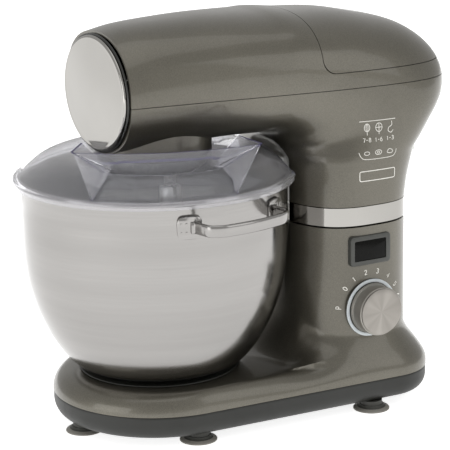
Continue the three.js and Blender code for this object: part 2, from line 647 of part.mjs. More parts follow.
// Coil wound about a vertical axis at the origin.
function coil(radius, wire, pitch, turns) {
  const perTurn = 8;
  const steps = turns * perTurn;
  const points = [];
  for (let i = 0; i <= steps; i += 1) {
    const angle = (i / perTurn) * 2 * Math.PI;
    points.push(new THREE.Vector3(radius * Math.cos(angle), radius * Math.sin(angle),
      pitch * (i / perTurn)));
  }
  const section = new THREE.Shape();
  section.absarc(0, 0, wire, 0, 2 * Math.PI);
  return toSolid(new THREE.ExtrudeGeometry(section, { steps, curveSegments: 2,
    bevelEnabled: false, extrudePath: new THREE.CatmullRomCurve3(points) }));
}
addPart('tilt_spring', alongX(coil(6.2, 1, 2.8, 5), 18, HINGE.y, HINGE.z), STEEL);

// Lever that reaches through the rear wall; its hook drops through the split to the catch.
const leverPlate = block([-LEVER.halfWidth, LEVER.y - 5, LEVER.z - LEVER.thick / 2],
  [LEVER.halfWidth, LEVER.tipY - 8, LEVER.z + LEVER.thick / 2]);
const leverTip = rod(LEVER.halfWidth, LEVER.z - LEVER.thick / 2, LEVER.z + LEVER.thick / 2, 0, 0, 32)
  .scale([1, 0.5, 1]).translate([0, LEVER.tipY - 10, 0]);
const leverBore = alongX(rod(2.6, -30, 30), 0, LEVER.y, LEVER.z);
addPart('release_lever', leverPlate.add(leverTip).subtract(leverBore), PALE_PLASTIC);
addPart('lever_pin', alongX(rod(2.5, -28, 28, 0, 0, 16), 0, LEVER.y, LEVER.z), STEEL);
addPart('latch_hook', extrudeX([[LEVER.y - 12, LEVER.z + 3], [LEVER.y - 5 - GAP, LEVER.z + 3],
  [LEVER.y - 5 - GAP, LEVER.z - 8], [192, 176], [192, 158], [195, 155], [192, 151], [187, 151],
  [187, 178]], -5, 5), STEEL);
addPart('latch_catch', block([-9, 196, 142.3], [9, 201, 156]), STEEL);
addPart('lever_spring', coil(3.2, 0.6, 2.4, 4).translate([0, LEVER.y - 0.5, LEVER.z + 4.9]), STEEL);

// ---------------------------------------------------------------- drive train
// Cast frame: bearing plate over the gears, beam over the motor, two legs down to the hinge.
function driveFrame() {
  const beam = block([-38, -34, 254], [38, 120, 262]).subtract(rod(14.3, 250, 266, 0, 0, 24));
  const legs = [1, -1].map((side) => {
    const x = [36, 43].map((value) => side * value).sort((a, b) => a - b);
    return block([x[0], 199, HINGE.z], [x[1], 213, 256]).add(hingeAxisRod(7, x[0], x[1]));
  });
  const leverEars = [1, -1].map((side) => {
    const x = [24, 27.5].map((value) => side * value).sort((a, b) => a - b);
    return block([x[0], 206, 208], [x[1], 216, 256]);
  });
  const backBeam = block([-43, 110, 254], [43, 216, 262]);
  return union([beam, backBeam, ...legs, ...leverEars])
    .subtract(hingeAxisRod(HINGE.pinR + 0.1, -90, 90))
    .subtract(alongX(rod(2.6, -60, 60, 0, 0, 16), 0, LEVER.y, LEVER.z))
    .subtract(rod(9, 250, 266, 0, MOTOR_Y));
}
addPart('drive_frame', driveFrame(), CAST);

// Toothed outline, stepped tooth by tooth with straight flanks.
function toothedPath(target, teeth, rootR, tipR, startAngle) {
  const step = (2 * Math.PI) / teeth;
  for (let i = 0; i < teeth; i += 1) {
    const middle = startAngle + i * step;
    for (const [share, radius] of [[-0.32, rootR], [-0.13, tipR], [0.13, tipR], [0.32, rootR]]) {
      const angle = middle + share * step;
      const point = [radius * Math.cos(angle), radius * Math.sin(angle)];
      if (target.curves.length === 0 && i === 0 && share === -0.32) target.moveTo(...point);
      else target.lineTo(...point);
    }
  }
  target.closePath();
  return target;
}

function extrudeZ(shape, z0, z1) {
  const geometry = new THREE.ExtrudeGeometry(shape, {
    depth: z1 - z0, bevelEnabled: false, curveSegments: 12,
  });
  geometry.translate(0, 0, z0);
  return toSolid(geometry);
}

const pitchR = (teeth) => (GEAR_MODULE * teeth) / 2;
const ringBlank = new THREE.Shape();
ringBlank.absarc(0, 0, 46, 0, 2 * Math.PI);
ringBlank.holes.push(toothedPath(new THREE.Path(), RING_TEETH, pitchR(RING_TEETH) + 2.4,
  pitchR(RING_TEETH) - 1.6, Math.PI / RING_TEETH));
addPart('ring_gear', extrudeZ(ringBlank, 241, 249), STEEL);

const pinionBlank = toothedPath(new THREE.Shape(), PINION_TEETH, pitchR(PINION_TEETH) - 2.4,
  pitchR(PINION_TEETH) + 1.6, 0);
addPart('planet_pinion', extrudeZ(pinionBlank, 241, 249).subtract(rod(5.3, 240, 250))
  .translate([TOOL_X, 0, 0]), STEEL);

const hub = turned([[6.3, 224], [41, 224], [45, 228], [45, 238.5], [6.3, 238.5]], 0, 0, 32);
addPart('planet_hub', hub.subtract(rod(5.1, 220, 240, TOOL_X)), CAST);
addPart('main_shaft', rod(6, 224.5, 298, 0, 0, 20), STEEL);
addPart('main_bearing', ring(6.1, 14, 254.3, 262, 0, 0, 24), STEEL);
addPart('top_bearing_block', ring(6.1, 16, 284, 292, 0, 0, 24), CAST);

const pulleyProfile = (bore, radius) => [[bore, BELT_Z - 6], [radius + 2, BELT_Z - 6],
  [radius + 2, BELT_Z - 4.8], [radius, BELT_Z - 4.8], [radius, BELT_Z + 4.8],
  [radius + 2, BELT_Z + 4.8], [radius + 2, BELT_Z + 6], [bore, BELT_Z + 6]];
addPart('large_pulley', turned(pulleyProfile(6.3, LARGE_PULLEY_R), 0, 0, 28), DARK_PLASTIC);
addPart('motor_pulley', turned(pulleyProfile(4.3, MOTOR_PULLEY_R), 0, MOTOR_Y, 16), STEEL);

// Belt: the loop round both pulleys as an outline with an inner copy cut away.
function beltLoop(extra) {
  const lean = Math.asin((LARGE_PULLEY_R - MOTOR_PULLEY_R) / MOTOR_Y);
  const shape = new THREE.Shape();
  shape.absarc(0, 0, LARGE_PULLEY_R + extra, Math.PI - lean, 2 * Math.PI + lean);
  shape.absarc(0, MOTOR_Y, MOTOR_PULLEY_R + extra, lean, Math.PI - lean);
  shape.closePath();
  return shape;
}
addPart('drive_belt', extrudeZ(beltLoop(2.4), BELT_Z - 4.4, BELT_Z + 4.4)
  .subtract(extrudeZ(beltLoop(0.4), BELT_Z - 6, BELT_Z + 6)), DARK_PLASTIC);

addPart('motor_stator', turned([[17, 200], [32, 200], [33, 203], [33, 246], [28, 253.7],
  [17, 253.7]], 0, MOTOR_Y, 24), COPPER);
const rotorShaft = rod(4, 190, 296, 0, MOTOR_Y, 16);
addPart('motor_rotor', rotorShaft.add(rod(16, 205, 245, 0, MOTOR_Y, 24)), STEEL);
const fanHub = ring(4.3, 9, 191, 198, 0, MOTOR_Y, 20);
const blades = [0, 1, 2, 3, 4, 5].map((i) => block([8, -1, 191.5], [28, 1, 197.5])
  .rotate([0, 0, i * 60]).translate([0, MOTOR_Y, 0]));
addPart('cooling_fan', union([fanHub, ...blades]), DARK_PLASTIC);
const claws = [0, 1, 2, 3].map((i) => block([6, -2.5, 296], [13, 2.5, 301])
  .rotate([0, 0, i * 90]).translate([0, MOTOR_Y, 0]));
addPart('jug_coupling', union([turned([[4.3, 290], [14, 290], [14, 297], [4.3, 297]], 0, MOTOR_Y, 28),
  ...claws]), DARK_PLASTIC);

// ---------------------------------------------------------------- tool
addPart('tool_shaft', rod(5, 196, 250, TOOL_X, 0, 20).add(ring(4.9, 7.5, 221, 223.6, TOOL_X, 0, 20))
  .subtract(alongX(rod(1.6, -20, 20, 0, 0, 12), TOOL_X, 0, 203)), STEEL);
addPart('drive_pin', alongX(rod(1.5, -8.2, 8.2, 0, 0, 12), TOOL_X, 0, 203), STEEL);

// Flat beater: leaf outline with a spine and two cross bars.
const leafHalfWidth = curve([[62, 16], [66, 34], [76, 47], [92, 56], [112, 60], [140, 59],
  [162, 50], [178, 32], [186, 14]]);
function leafShape(inset) {
  const low = 62 + inset;
  const high = 186 - inset;
  const right = [];
  for (let i = 0; i <= 10; i += 1) {
    const z = low + (high - low) * (i / 10);
    right.push(new THREE.Vector2(leafHalfWidth(z) - inset, z));
  }
  const left = right.map((p) => new THREE.Vector2(-p.x, p.y)).reverse();
  return new THREE.Shape([...right, ...left]);
}
function beaterSlice(shape, halfThick) {
  const geometry = new THREE.ExtrudeGeometry(shape, { depth: 2 * halfThick, bevelEnabled: false });
  geometry.rotateX(Math.PI / 2);
  geometry.translate(TOOL_X, halfThick, 0);
  return toSolid(geometry);
}
function flatBeater() {
  const windows = beaterSlice(leafShape(8), 9)
    .subtract(block([TOOL_X - 4, -10, 60], [TOOL_X + 4, 10, 190]))
    .subtract(block([-60, -10, 100], [120, 10, 106]))
    .subtract(block([-60, -10, 138], [120, 10, 144]));
  const leaf = beaterSlice(leafShape(0), 4).subtract(windows);
  const socket = ring(5.2, 9, 184, 212, TOOL_X, 0, 24).add(rod(9, 178, 190, TOOL_X));
  const pinSlot = block([TOOL_X - 12, -1.9, 201.1], [TOOL_X + 12, 1.9, 213]);
  return leaf.add(socket).subtract(pinSlot);
}
addPart('flat_beater', flatBeater(), CAST);

// ---------------------------------------------------------------- footprint centre to origin
const bounds = new THREE.Box3().setFromObject(assembly);
const middle = bounds.getCenter(new THREE.Vector3());
assembly.position.set(-middle.x, -middle.y, -bounds.min.z);

export default assembly;
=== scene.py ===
# Planetary stand mixer with a tilting head, a lock-in steel bowl and a clear splash guard.
# Outlines are written in millimetres about the bowl axis, with the nose towards -Y and the
# controls on the +X side; place() turns them into the frame's metres.
import math

import bmesh
import bpy
from mathutils import Matrix, Vector
from mathutils.bvhtree import BVHTree


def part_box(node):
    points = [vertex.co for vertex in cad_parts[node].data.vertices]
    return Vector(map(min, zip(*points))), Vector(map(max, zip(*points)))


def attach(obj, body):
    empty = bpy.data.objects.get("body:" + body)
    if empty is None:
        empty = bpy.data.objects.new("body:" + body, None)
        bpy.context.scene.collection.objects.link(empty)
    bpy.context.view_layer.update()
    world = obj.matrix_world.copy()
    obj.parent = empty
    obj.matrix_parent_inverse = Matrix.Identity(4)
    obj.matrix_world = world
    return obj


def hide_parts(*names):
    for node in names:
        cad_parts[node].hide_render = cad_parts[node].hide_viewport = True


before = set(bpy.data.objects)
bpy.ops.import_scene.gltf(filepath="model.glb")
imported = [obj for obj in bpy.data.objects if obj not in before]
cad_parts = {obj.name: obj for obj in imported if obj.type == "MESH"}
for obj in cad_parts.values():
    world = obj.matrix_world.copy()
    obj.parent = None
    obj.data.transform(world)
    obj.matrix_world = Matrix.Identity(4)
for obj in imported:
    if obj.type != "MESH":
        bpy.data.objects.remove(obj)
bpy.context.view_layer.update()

MM = 0.001
BOWL_LOW, BOWL_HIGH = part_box("mixing_bowl")
AXIS_X = (BOWL_LOW[0] + BOWL_HIGH[0]) / 2
AXIS_Y = (BOWL_LOW[1] + BOWL_HIGH[1]) / 2


def place(x, y, z):
    return Vector((AXIS_X + x * MM, AXIS_Y + y * MM, z * MM))


# ---------------------------------------------------------------- camera
CAMERA_AT = (1373.5, -706.3, 565.0)
CAMERA_TURN = 60.59      # degrees from +Y towards -X
CAMERA_DIP = 14.36       # degrees below level
CAMERA_ROLL = -1.03
LENS = 149.0


def aim_camera():
    turn, dip, roll = (math.radians(a) for a in (CAMERA_TURN, CAMERA_DIP, CAMERA_ROLL))
    right = Vector((math.cos(turn), math.sin(turn), 0))
    back = Vector((math.sin(turn) * math.cos(dip), -math.cos(turn) * math.cos(dip),
                   math.sin(dip)))
    up = back.cross(right)
    rolled_right = math.cos(roll) * right + math.sin(roll) * up
    rolled_up = math.cos(roll) * up - math.sin(roll) * right
    data = bpy.data.cameras.new("camera")
    data.lens = LENS
    data.sensor_width = 36
    data.clip_end = 20
    camera = bpy.data.objects.new("camera", data)
    axes = Matrix((rolled_right, rolled_up, back)).transposed().to_4x4()
    camera.matrix_world = Matrix.Translation(place(*CAMERA_AT)) @ axes
    bpy.context.scene.collection.objects.link(camera)
    bpy.context.scene.camera = camera


aim_camera()

# ---------------------------------------------------------------- driving sizes
TRAY_Z = 9
PAINT_Z = 30
FOOT_TOP_Z = 48
FLARE_TOP_Z = 72
SPLIT_Z = 166
BAND_TOP_Z = 184
FOOT_NOSE_R = 93
FOOT_REAR = (55, 188, 46)
COLUMN_Y, COLUMN_HALF_WIDTH, COLUMN_HALF_DEPTH, COLUMN_POWER = 166, 86.5, 56, 2.9
THROAT_Y, THROAT_Z, THROAT_R = 92, 227, 18
NOSE_Y = -50
NOSE_BOTTOM_Z = 241
SEAM_Z = 286
SEAM_HALF = 0.28
COVER_FRONT_Y, COVER_BOTTOM_Z, COVER_CORNER_R = 120, 300, 12
BOWL_R, BOWL_WALL, RIM_Z, BOWL_BOTTOM_Z = 113, 1.2, 217.5, 50
GUARD_R = 120
HINGE_Y, HINGE_Z, TILT_MAX = 206, 166, 40
MOTOR_Y = 155
TOOL_X = 28
KNOB_Y, KNOB_Z, KNOB_R, KNOB_LENGTH = 162.7, 93, 21.5, 14.5
SIDE_X = 87
LEVER_Y, LEVER_Z, LEVER_HALF, LEVER_TIP_Y, LEVER_THICK = 214, 213, 20, 262, 8
WALL = 3
FAR = 400


# ---------------------------------------------------------------- mesh makers
def new_object(name, mesh):
    piece = bpy.data.objects.new(name, mesh)
    bpy.context.scene.collection.objects.link(piece)
    return piece


def solid(name, points, faces):
    mesh = bpy.data.meshes.new(name)
    mesh.from_pydata([place(*p) for p in points], [], faces)
    form = bmesh.new()
    form.from_mesh(mesh)
    bmesh.ops.recalc_face_normals(form, faces=form.faces)
    form.to_mesh(mesh)
    form.free()
    return new_object(name, mesh)


def loft(name, rings, closed_ends=True):
    """Closed skin through rings of equal counts."""
    count = len(rings[0])
    points = [p for ring in rings for p in ring]
    faces = []
    for k in range(len(rings) - 1):
        for i in range(count):
            j = (i + 1) % count
            faces.append((k * count + i, k * count + j, (k + 1) * count + j,
                          (k + 1) * count + i))
    if closed_ends:
        faces.append(tuple(range(count)))
        last = (len(rings) - 1) * count
        faces.append(tuple(range(last + count - 1, last - 1, -1)))
    return solid(name, points, faces)


def upright(x=0, y=0):
    """Turning axis straight up through (x, y)."""
    return lambda r, h, a: (x + r * math.cos(a), y + r * math.sin(a), h)


def sideways(x, y, z):
    """Turning axis along +X from (x, y, z)."""
    return lambda r, h, a: (x + h, y + r * math.cos(a), z + r * math.sin(a))


def turned(name, profile, axis=None, segments=96):
    """Turned solid; the profile holds (radius, height) pairs and ends on the axis or closes."""
    axis = axis or upright()
    points = []
    rows = []
    for r, h in profile:
        if r < 1e-6:
            rows.append([len(points)])
            points.append(axis(0, h, 0))
        else:
            rows.append([len(points) + i for i in range(segments)])
            points.extend(axis(r, h, 2 * math.pi * i / segments) for i in range(segments))
    if profile[0][0] > 0:
        rows.append(rows[0])
    faces = []
    for low, high in zip(rows, rows[1:]):
        for i in range(segments):
            j = (i + 1) % segments
            if len(low) == 1 and len(high) == 1:
                continue
            if len(low) == 1:
                faces.append((low[0], high[j], high[i]))
            elif len(high) == 1:
                faces.append((low[i], low[j], high[0]))
            else:
                faces.append((low[i], low[j], high[j], high[i]))
    return solid(name, points, faces)


def block(name, low, high):
    return loft(name, [[(low[0], low[1], z), (high[0], low[1], z), (high[0], high[1], z),
                        (low[0], high[1], z)] for z in (low[2], high[2])])


def settle(piece):
    """Applies the piece's modifiers to its mesh."""
    graph = bpy.context.evaluated_depsgraph_get()
    mesh = bpy.data.meshes.new_from_object(piece.evaluated_get(graph))
    piece.modifiers.clear()
    old = piece.data
    piece.data = mesh
    mesh.name = piece.name
    bpy.data.meshes.remove(old)
    return piece


def combine(piece, tool, how="DIFFERENCE", keep_tool=False):
    step = piece.modifiers.new("combine", "BOOLEAN")
    step.operation = how
    step.solver = "MANIFOLD"
    step.object = tool
    settle(piece)
    if not keep_tool:
        bpy.data.objects.remove(tool)
    return piece


def cut(piece, *tools):
    for tool in tools:
        combine(piece, tool)
    return piece


def join(piece, *others):
    for other in others:
        combine(piece, other, "UNION")
    return piece


def copy_of(piece, name):
    twin = new_object(name, piece.data.copy())
    return twin


def bevelled(piece, width, segments=2, angle=35):
    step = piece.modifiers.new("bevel", "BEVEL")
    step.width = width * MM
    step.segments = segments
    step.limit_method = "ANGLE"
    step.angle_limit = math.radians(angle)
    step.harden_normals = False
    return settle(piece)


def smooth(piece, angle=32):
    mesh = piece.data
    for face in mesh.polygons:
        face.use_smooth = True
    mesh.set_sharp_from_angle(angle=math.radians(angle))
    return piece


def turn_about(piece, point, axis, degrees):
    centre = place(*point)
    spin = Matrix.Rotation(math.radians(degrees), 4, axis)
    piece.data.transform(Matrix.Translation(centre) @ spin @ Matrix.Translation(-centre))
    return piece


def fitted(piece, body, slot, finish, *stands_for, angle=32):
    """Last step for every made piece: finish, ride and the nodes it stands for; `slot` is not used.
    """
    smooth(piece, angle)
    piece.data.materials.clear()
    for material in finish if isinstance(finish, (list, tuple)) else [finish]:
        piece.data.materials.append(material)
    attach(piece, body)
    if stands_for:
        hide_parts(*stands_for)
    return piece


# ---------------------------------------------------------------- curves
def curve(pairs):
    """Smooth function through (key, value) pairs."""
    def value(key):
        i = 0
        while i < len(pairs) - 2 and key > pairs[i + 1][0]:
            i += 1
        (k0, v0), (k1, v1) = pairs[i], pairs[i + 1]
        before, after = pairs[max(i - 1, 0)], pairs[min(i + 2, len(pairs) - 1)]
        span = k1 - k0
        chord = (v1 - v0) / span
        slope0 = (v1 - before[1]) / (k1 - before[0]) if i > 0 else chord
        slope1 = (after[1] - v0) / (after[0] - k0) if i < len(pairs) - 2 else chord
        t = min(max((key - k0) / span, 0), 1)
        return (v0 * (2 * t ** 3 - 3 * t ** 2 + 1) + v1 * (3 * t ** 2 - 2 * t ** 3)
                + span * slope0 * (t ** 3 - 2 * t ** 2 + t) + span * slope1 * (t ** 3 - t ** 2))
    return value


def smooth_path(points, steps=6, closed=False):
    """Points along a smooth curve through the given points."""
    count = len(points)
    spans = count if closed else count - 1
    path = []
    for i in range(spans):
        if closed:
            corners = [points[(i + k) % count] for k in (-1, 0, 1, 2)]
        else:
            corners = [points[min(max(i + k, 0), count - 1)] for k in (-1, 0, 1, 2)]
        for s in range(steps):
            t = s / steps
            weights = ((-t + 2 * t * t - t ** 3) / 2, (2 - 5 * t * t + 3 * t ** 3) / 2,
                       (t + 4 * t * t - 3 * t ** 3) / 2, (t ** 3 - t * t) / 2)
            path.append(tuple(sum(w * p[axis] for w, p in zip(weights, corners))
                              for axis in range(len(points[0]))))
    if not closed:
        path.append(tuple(points[-1]))
    return path


def super_point(angle, power):
    c, s = math.cos(angle), math.sin(angle)
    return (math.copysign(abs(c) ** (2 / power), c), math.copysign(abs(s) ** (2 / power), s))


def smoothstep(x, low, high):
    t = min(max((x - low) / (high - low), 0), 1)
    return t * t * (3 - 2 * t)


# ---------------------------------------------------------------- foot and column shapes
def foot_outline(inset, count):
    """Hull of the round nose and the two round rear corners, evenly stepped."""
    x, y, r = FOOT_REAR
    circles = [(0, 0, FOOT_NOSE_R - inset), (x, y, r - inset), (-x, y, r - inset)]
    steps = 1440
    fine = []
    for i in range(steps + 1):
        angle = 2 * math.pi * i / steps - math.pi / 2
        nx, ny = math.cos(angle), math.sin(angle)
        cx, cy, cr = max(circles, key=lambda c: c[0] * nx + c[1] * ny + c[2])
        fine.append((cx + cr * nx, cy + cr * ny))
    lengths = [0]
    for a, b in zip(fine, fine[1:]):
        lengths.append(lengths[-1] + math.dist(a, b))
    outline = []
    j = 0
    for i in range(count):
        target = lengths[-1] * i / count
        while lengths[j + 1] < target:
            j += 1
        t = (target - lengths[j]) / (lengths[j + 1] - lengths[j])
        outline.append(tuple(a + (b - a) * t for a, b in zip(fine[j], fine[j + 1])))
    return outline


def column_point(foot, inset):
    dx, dy = foot[0], foot[1] - COLUMN_Y
    scale = ((abs(dx) / (COLUMN_HALF_WIDTH - inset)) ** COLUMN_POWER
             + (abs(dy) / (COLUMN_HALF_DEPTH - inset)) ** COLUMN_POWER) ** (-1 / COLUMN_POWER)
    return (dx * scale, COLUMN_Y + dy * scale)


def flare(distance, s):
    """Rise from the paint line to the column: share of the way in, and height."""
    shoulder, fillet = 20, 42
    steep = (s * s * (3 - 2 * s), PAINT_Z + 4 + (FLARE_TOP_Z - PAINT_Z - 4) * s)
    if s < 0.35:
        turn = s / 0.35 * math.pi / 2
        flat = (shoulder * (1 - math.cos(turn)) / distance,
                PAINT_Z + (FOOT_TOP_Z - PAINT_Z) * math.sin(turn))
    elif s < 0.5:
        run = (s - 0.35) / 0.15
        flat = ((shoulder + (distance - shoulder - fillet) * run) / distance, FOOT_TOP_Z)
    else:
        turn = (s - 0.5) / 0.5 * math.pi / 2
        flat = (1 - fillet * (1 - math.sin(turn)) / distance,
                FOOT_TOP_Z + fillet * (1 - math.cos(turn)))
    share = smoothstep(distance, 20, 80)
    return [a * (1 - share) + b * share for a, b in zip(steep, flat)]


def base_body(name, inset, bottom_z, top_z, count, stations):
    foot = foot_outline(inset, count)
    column = [column_point(p, inset) for p in foot]
    rings = [[(x, y, bottom_z) for x, y in foot]]
    for k in range(stations + 1):
        ring = []
        for outer, inner in zip(foot, column):
            share, z = flare(math.dist(outer, inner), k / stations)
            ring.append((outer[0] + (inner[0] - outer[0]) * share,
                         outer[1] + (inner[1] - outer[1]) * share, z - inset))
        rings.append(ring)
    rings.append([(x, y, (FLARE_TOP_Z + 24 + top_z) / 2) for x, y in column])
    rings.append([(x, y, top_z) for x, y in column])
    return loft(name, rings)


def column_slice(name, inset, z0, z1, count=160, edge=0.0):
    """Slice of the column's outline between two levels, with a small chamfer if wanted."""
    levels = [(inset + edge, z0), (inset, z0 + edge), (inset, z1 - edge), (inset + edge, z1)]
    if edge == 0:
        levels = [(inset, z0), (inset, z1)]
    rings = []
    for more, z in levels:
        ring = []
        for i in range(count):
            c, s = super_point(2 * math.pi * i / count, COLUMN_POWER)
            ring.append(((COLUMN_HALF_WIDTH - more) * c,
                         COLUMN_Y + (COLUMN_HALF_DEPTH - more) * s, z))
        rings.append(ring)
    return loft(name, rings)


BOWL_PROFILE = [(58, BOWL_BOTTOM_Z), (68, 52.4), (77, 58.8), (86.5, 70.5), (96.5, 88),
                (105.5, 111), (111, 137), (BOWL_R, 166)]


def bowl_clearance(margin):
    """Space round the bowl that the column and the head keep clear."""
    wall = smooth_path([(r + margin, z) for r, z in BOWL_PROFILE[1:]], 4)
    r = BOWL_R + margin
    dome = smooth_path([(r, 222), (r - 8, 235), (r - 22, NOSE_BOTTOM_Z - 0.5)], 4)
    low = FOOT_TOP_Z + 3.5
    profile = [(0, low), (58 + margin, low)] + wall + dome + [(0, NOSE_BOTTOM_Z - 0.5)]
    return turned("bowl_clearance", profile, segments=160)


# ---------------------------------------------------------------- head shapes
top_line = curve([(NOSE_Y - 3, 341.5), (-28, 346.2), (9, 348.8), (45, 349.9), (92, 349.5)])
bottom_line = curve([(NOSE_Y - 3, NOSE_BOTTOM_Z), (0, 243), (45, 245), (92, 245)])
half_width_line = curve([(NOSE_Y - 3, 60), (0, 66.5), (50, 73), (92, 78.5)])
turn_width = curve([(0, 78.5), (30, 82), (60, 85), (90, 86.5)])
turn_reach = curve([(0, 122.5), (20, 127.5), (40, 149), (55, 175), (66, 187), (74, 182),
                    (82, 160), (90, 141)])
rear_line = curve([(BAND_TOP_Z, 222), (203, 225.5), (THROAT_Z, 233)])


def head_sections(step):
    """(y, z, direction, inner, outer, half width, roundness) from the nose to the band."""
    sections = []
    runs = max(round((THROAT_Y - NOSE_Y) / (6 * step)), 4)
    for k in range(runs):
        y = NOSE_Y + (THROAT_Y - NOSE_Y) * k / runs
        sections.append((y, 0, (0, 1), bottom_line(y), top_line(y), half_width_line(y),
                         2.25 + 0.65 * (y - NOSE_Y) / 400))
    turns = round(36 / step)
    for k in range(turns + 1):
        angle = 90 * k / turns
        a = math.radians(angle)
        sections.append((THROAT_Y, THROAT_Z, (math.sin(a), math.cos(a)), THROAT_R,
                         turn_reach(angle), turn_width(angle),
                         2.25 + 0.65 * (0.35 + 0.65 * angle / 90)))
    drops = max(round(7 / step), 2)
    for k in range(1, drops + 1):
        z = THROAT_Z + (BAND_TOP_Z - THROAT_Z) * k / drops
        sections.append((0, z, (1, 0), THROAT_Y + THROAT_R, rear_line(z), COLUMN_HALF_WIDTH,
                         COLUMN_POWER))
    return sections


def head_body(name, inset, count=176, step=1.0):
    sections = head_sections(step)
    overrun = 6 if inset > 0 else 0
    rings = []
    for k, (y, z, way, inner, outer, width, power) in enumerate(sections):
        middle = (inner + outer) / 2
        half = (outer - inner) / 2 - inset
        y0 = y - (overrun if k == 0 else 0)
        z0 = z - (overrun if k == len(sections) - 1 else 0)
        ring = []
        for i in range(count):
            c, s = super_point(2 * math.pi * i / count, power)
            reach = middle + half * s
            ring.append(((width - inset) * c, y0 + way[0] * reach, z0 + way[1] * reach))
        rings.append(ring)
    return loft(name, rings)


def cover_region(clearance):
    """Region of the rear cover: behind and above a seam with a round lower corner."""
    front = COVER_FRONT_Y + clearance
    bottom = COVER_BOTTOM_Z + clearance
    outline = [(FAR, FAR), (front, FAR)]
    for k in range(13):
        angle = math.pi * (1 + 0.5 * k / 12)
        outline.append((front + COVER_CORNER_R * (1 + math.cos(angle)),
                        bottom + COVER_CORNER_R * (1 + math.sin(angle))))
    outline.append((FAR, bottom))
    return loft("cover_region", [[(x, y, z) for y, z in outline] for x in (-FAR, FAR)])


# ---------------------------------------------------------------- shared shader groups
def node_group(name, inputs, outputs, build):
    group = bpy.data.node_groups.new(name, "ShaderNodeTree")
    for label, kind, value in inputs:
        socket = group.interface.new_socket(name=label, in_out="INPUT", socket_type=kind)
        if value is not None:
            socket.default_value = value
    for label, kind in outputs:
        group.interface.new_socket(name=label, in_out="OUTPUT", socket_type=kind)
    nodes, links = group.nodes, group.links
    source = nodes.new("NodeGroupInput")
    sink = nodes.new("NodeGroupOutput")

    def add(kind, values=None, **settings):
        node = nodes.new(kind)
        for key, value in settings.items():
            setattr(node, key, value)
        for key, value in (values or {}).items():
            if hasattr(value, "is_linked"):
                links.new(value, node.inputs[key])
            else:
                node.inputs[key].default_value = value
        return node.outputs

    build(add, source.outputs, lambda label, out: links.new(out, sink.inputs[label]))
    return group


NUMBER, VECTOR = "NodeSocketFloat", "NodeSocketVector"


def build_flake(add, given, give):
    """Metal flake under lacquer: a tone per flake, and a slow drift of the spray."""
    where = add("ShaderNodeTexCoord")["Object"]
    flakes = add("ShaderNodeTexVoronoi", {"Vector": where, "Scale": given["Flakes per metre"]})
    tone = add("ShaderNodeSeparateColor", {"Color": flakes["Color"]})["Red"]
    drift = add("ShaderNodeTexNoise", {"Vector": where, "Scale": 9.0, "Detail": 3.0})["Fac"]
    mixed = add("ShaderNodeMapRange", {"Value": tone, "To Min": 0.0,
                                       "To Max": given["Flake tone"]})["Result"]
    wide = add("ShaderNodeMapRange", {"Value": drift, "From Min": 0.35, "From Max": 0.65,
                                      "To Min": 0.0, "To Max": given["Drift tone"]})["Result"]
    give("Tone", add("ShaderNodeMath", {0: mixed, 1: wide}, operation="ADD")["Value"])


def build_handling(add, given, give):
    """Faint wipe marks and finger film that change the gloss."""
    where = add("ShaderNodeTexCoord")["Object"]
    film = add("ShaderNodeTexNoise", {"Vector": where, "Scale": given["Film per metre"],
                                      "Detail": 5.0, "Roughness": 0.6, "Distortion": 0.6})["Fac"]
    drawn = add("ShaderNodeMapping", {"Vector": where, "Rotation": (0.4, 0.9, 0.3),
                                      "Scale": (40.0, 900.0, 40.0)})["Vector"]
    wipes = add("ShaderNodeTexNoise", {"Vector": drawn, "Scale": 1.0, "Detail": 2.0})["Fac"]
    film_part = add("ShaderNodeMapRange", {"Value": film, "From Min": 0.4, "From Max": 0.75,
                                           "To Min": given["Clean"],
                                           "To Max": given["Dull"]})["Result"]
    wipe_part = add("ShaderNodeMapRange", {"Value": wipes, "From Min": 0.62, "From Max": 0.8,
                                           "To Min": 0.0, "To Max": given["Wipe"]})["Result"]
    give("Roughness", add("ShaderNodeMath", {0: film_part, 1: wipe_part},
                          operation="ADD")["Value"])


def build_grain(add, given, give):
    """Fine spark-eroded grain of a moulding, or the skin of a casting."""
    where = add("ShaderNodeTexCoord")["Object"]
    cells = add("ShaderNodeTexVoronoi", {"Vector": where, "Scale": given["Grains per metre"],
                                         "Smoothness": 0.6}, feature="SMOOTH_F1")["Distance"]
    ripple = add("ShaderNodeTexNoise", {"Vector": where, "Scale": given["Grains per metre"],
                                        "Detail": 4.0})["Fac"]
    give("Height", add("ShaderNodeMath", {0: cells, 1: ripple}, operation="ADD")["Value"])
    give("Tone", ripple)


def build_lines(add, given, give):
    """Brush or lathe lines: stretched noise read along one named direction."""
    fine = add("ShaderNodeTexNoise", {"Vector": given["Along"], "Scale": given["Lines"],
                                      "Detail": 3.0, "Roughness": 0.7})["Fac"]
    broad = add("ShaderNodeTexNoise", {"Vector": given["Along"], "Scale": given["Bands"],
                                       "Detail": 1.0})["Fac"]
    give("Height", fine)
    give("Tone", add("ShaderNodeMath", {0: fine, 1: broad}, operation="MULTIPLY")["Value"])
    give("Band", broad)


def build_wear(add, given, give):
    """Light rubbing on outer edges, broken up by noise."""
    where = add("ShaderNodeTexCoord")["Object"]
    bend = add("ShaderNodeNewGeometry")["Pointiness"]
    edge = add("ShaderNodeMapRange", {"Value": bend, "From Min": given["Edge from"],
                                      "From Max": given["Edge to"]})["Result"]
    patchy = add("ShaderNodeTexNoise", {"Vector": where, "Scale": 260.0, "Detail": 4.0})["Fac"]
    broken = add("ShaderNodeMapRange", {"Value": patchy, "From Min": 0.42,
                                        "From Max": 0.6})["Result"]
    both = add("ShaderNodeMath", {0: edge, 1: broken}, operation="MULTIPLY")["Value"]
    give("Wear", add("ShaderNodeMath", {0: both, 1: given["Amount"]},
                     operation="MULTIPLY")["Value"])


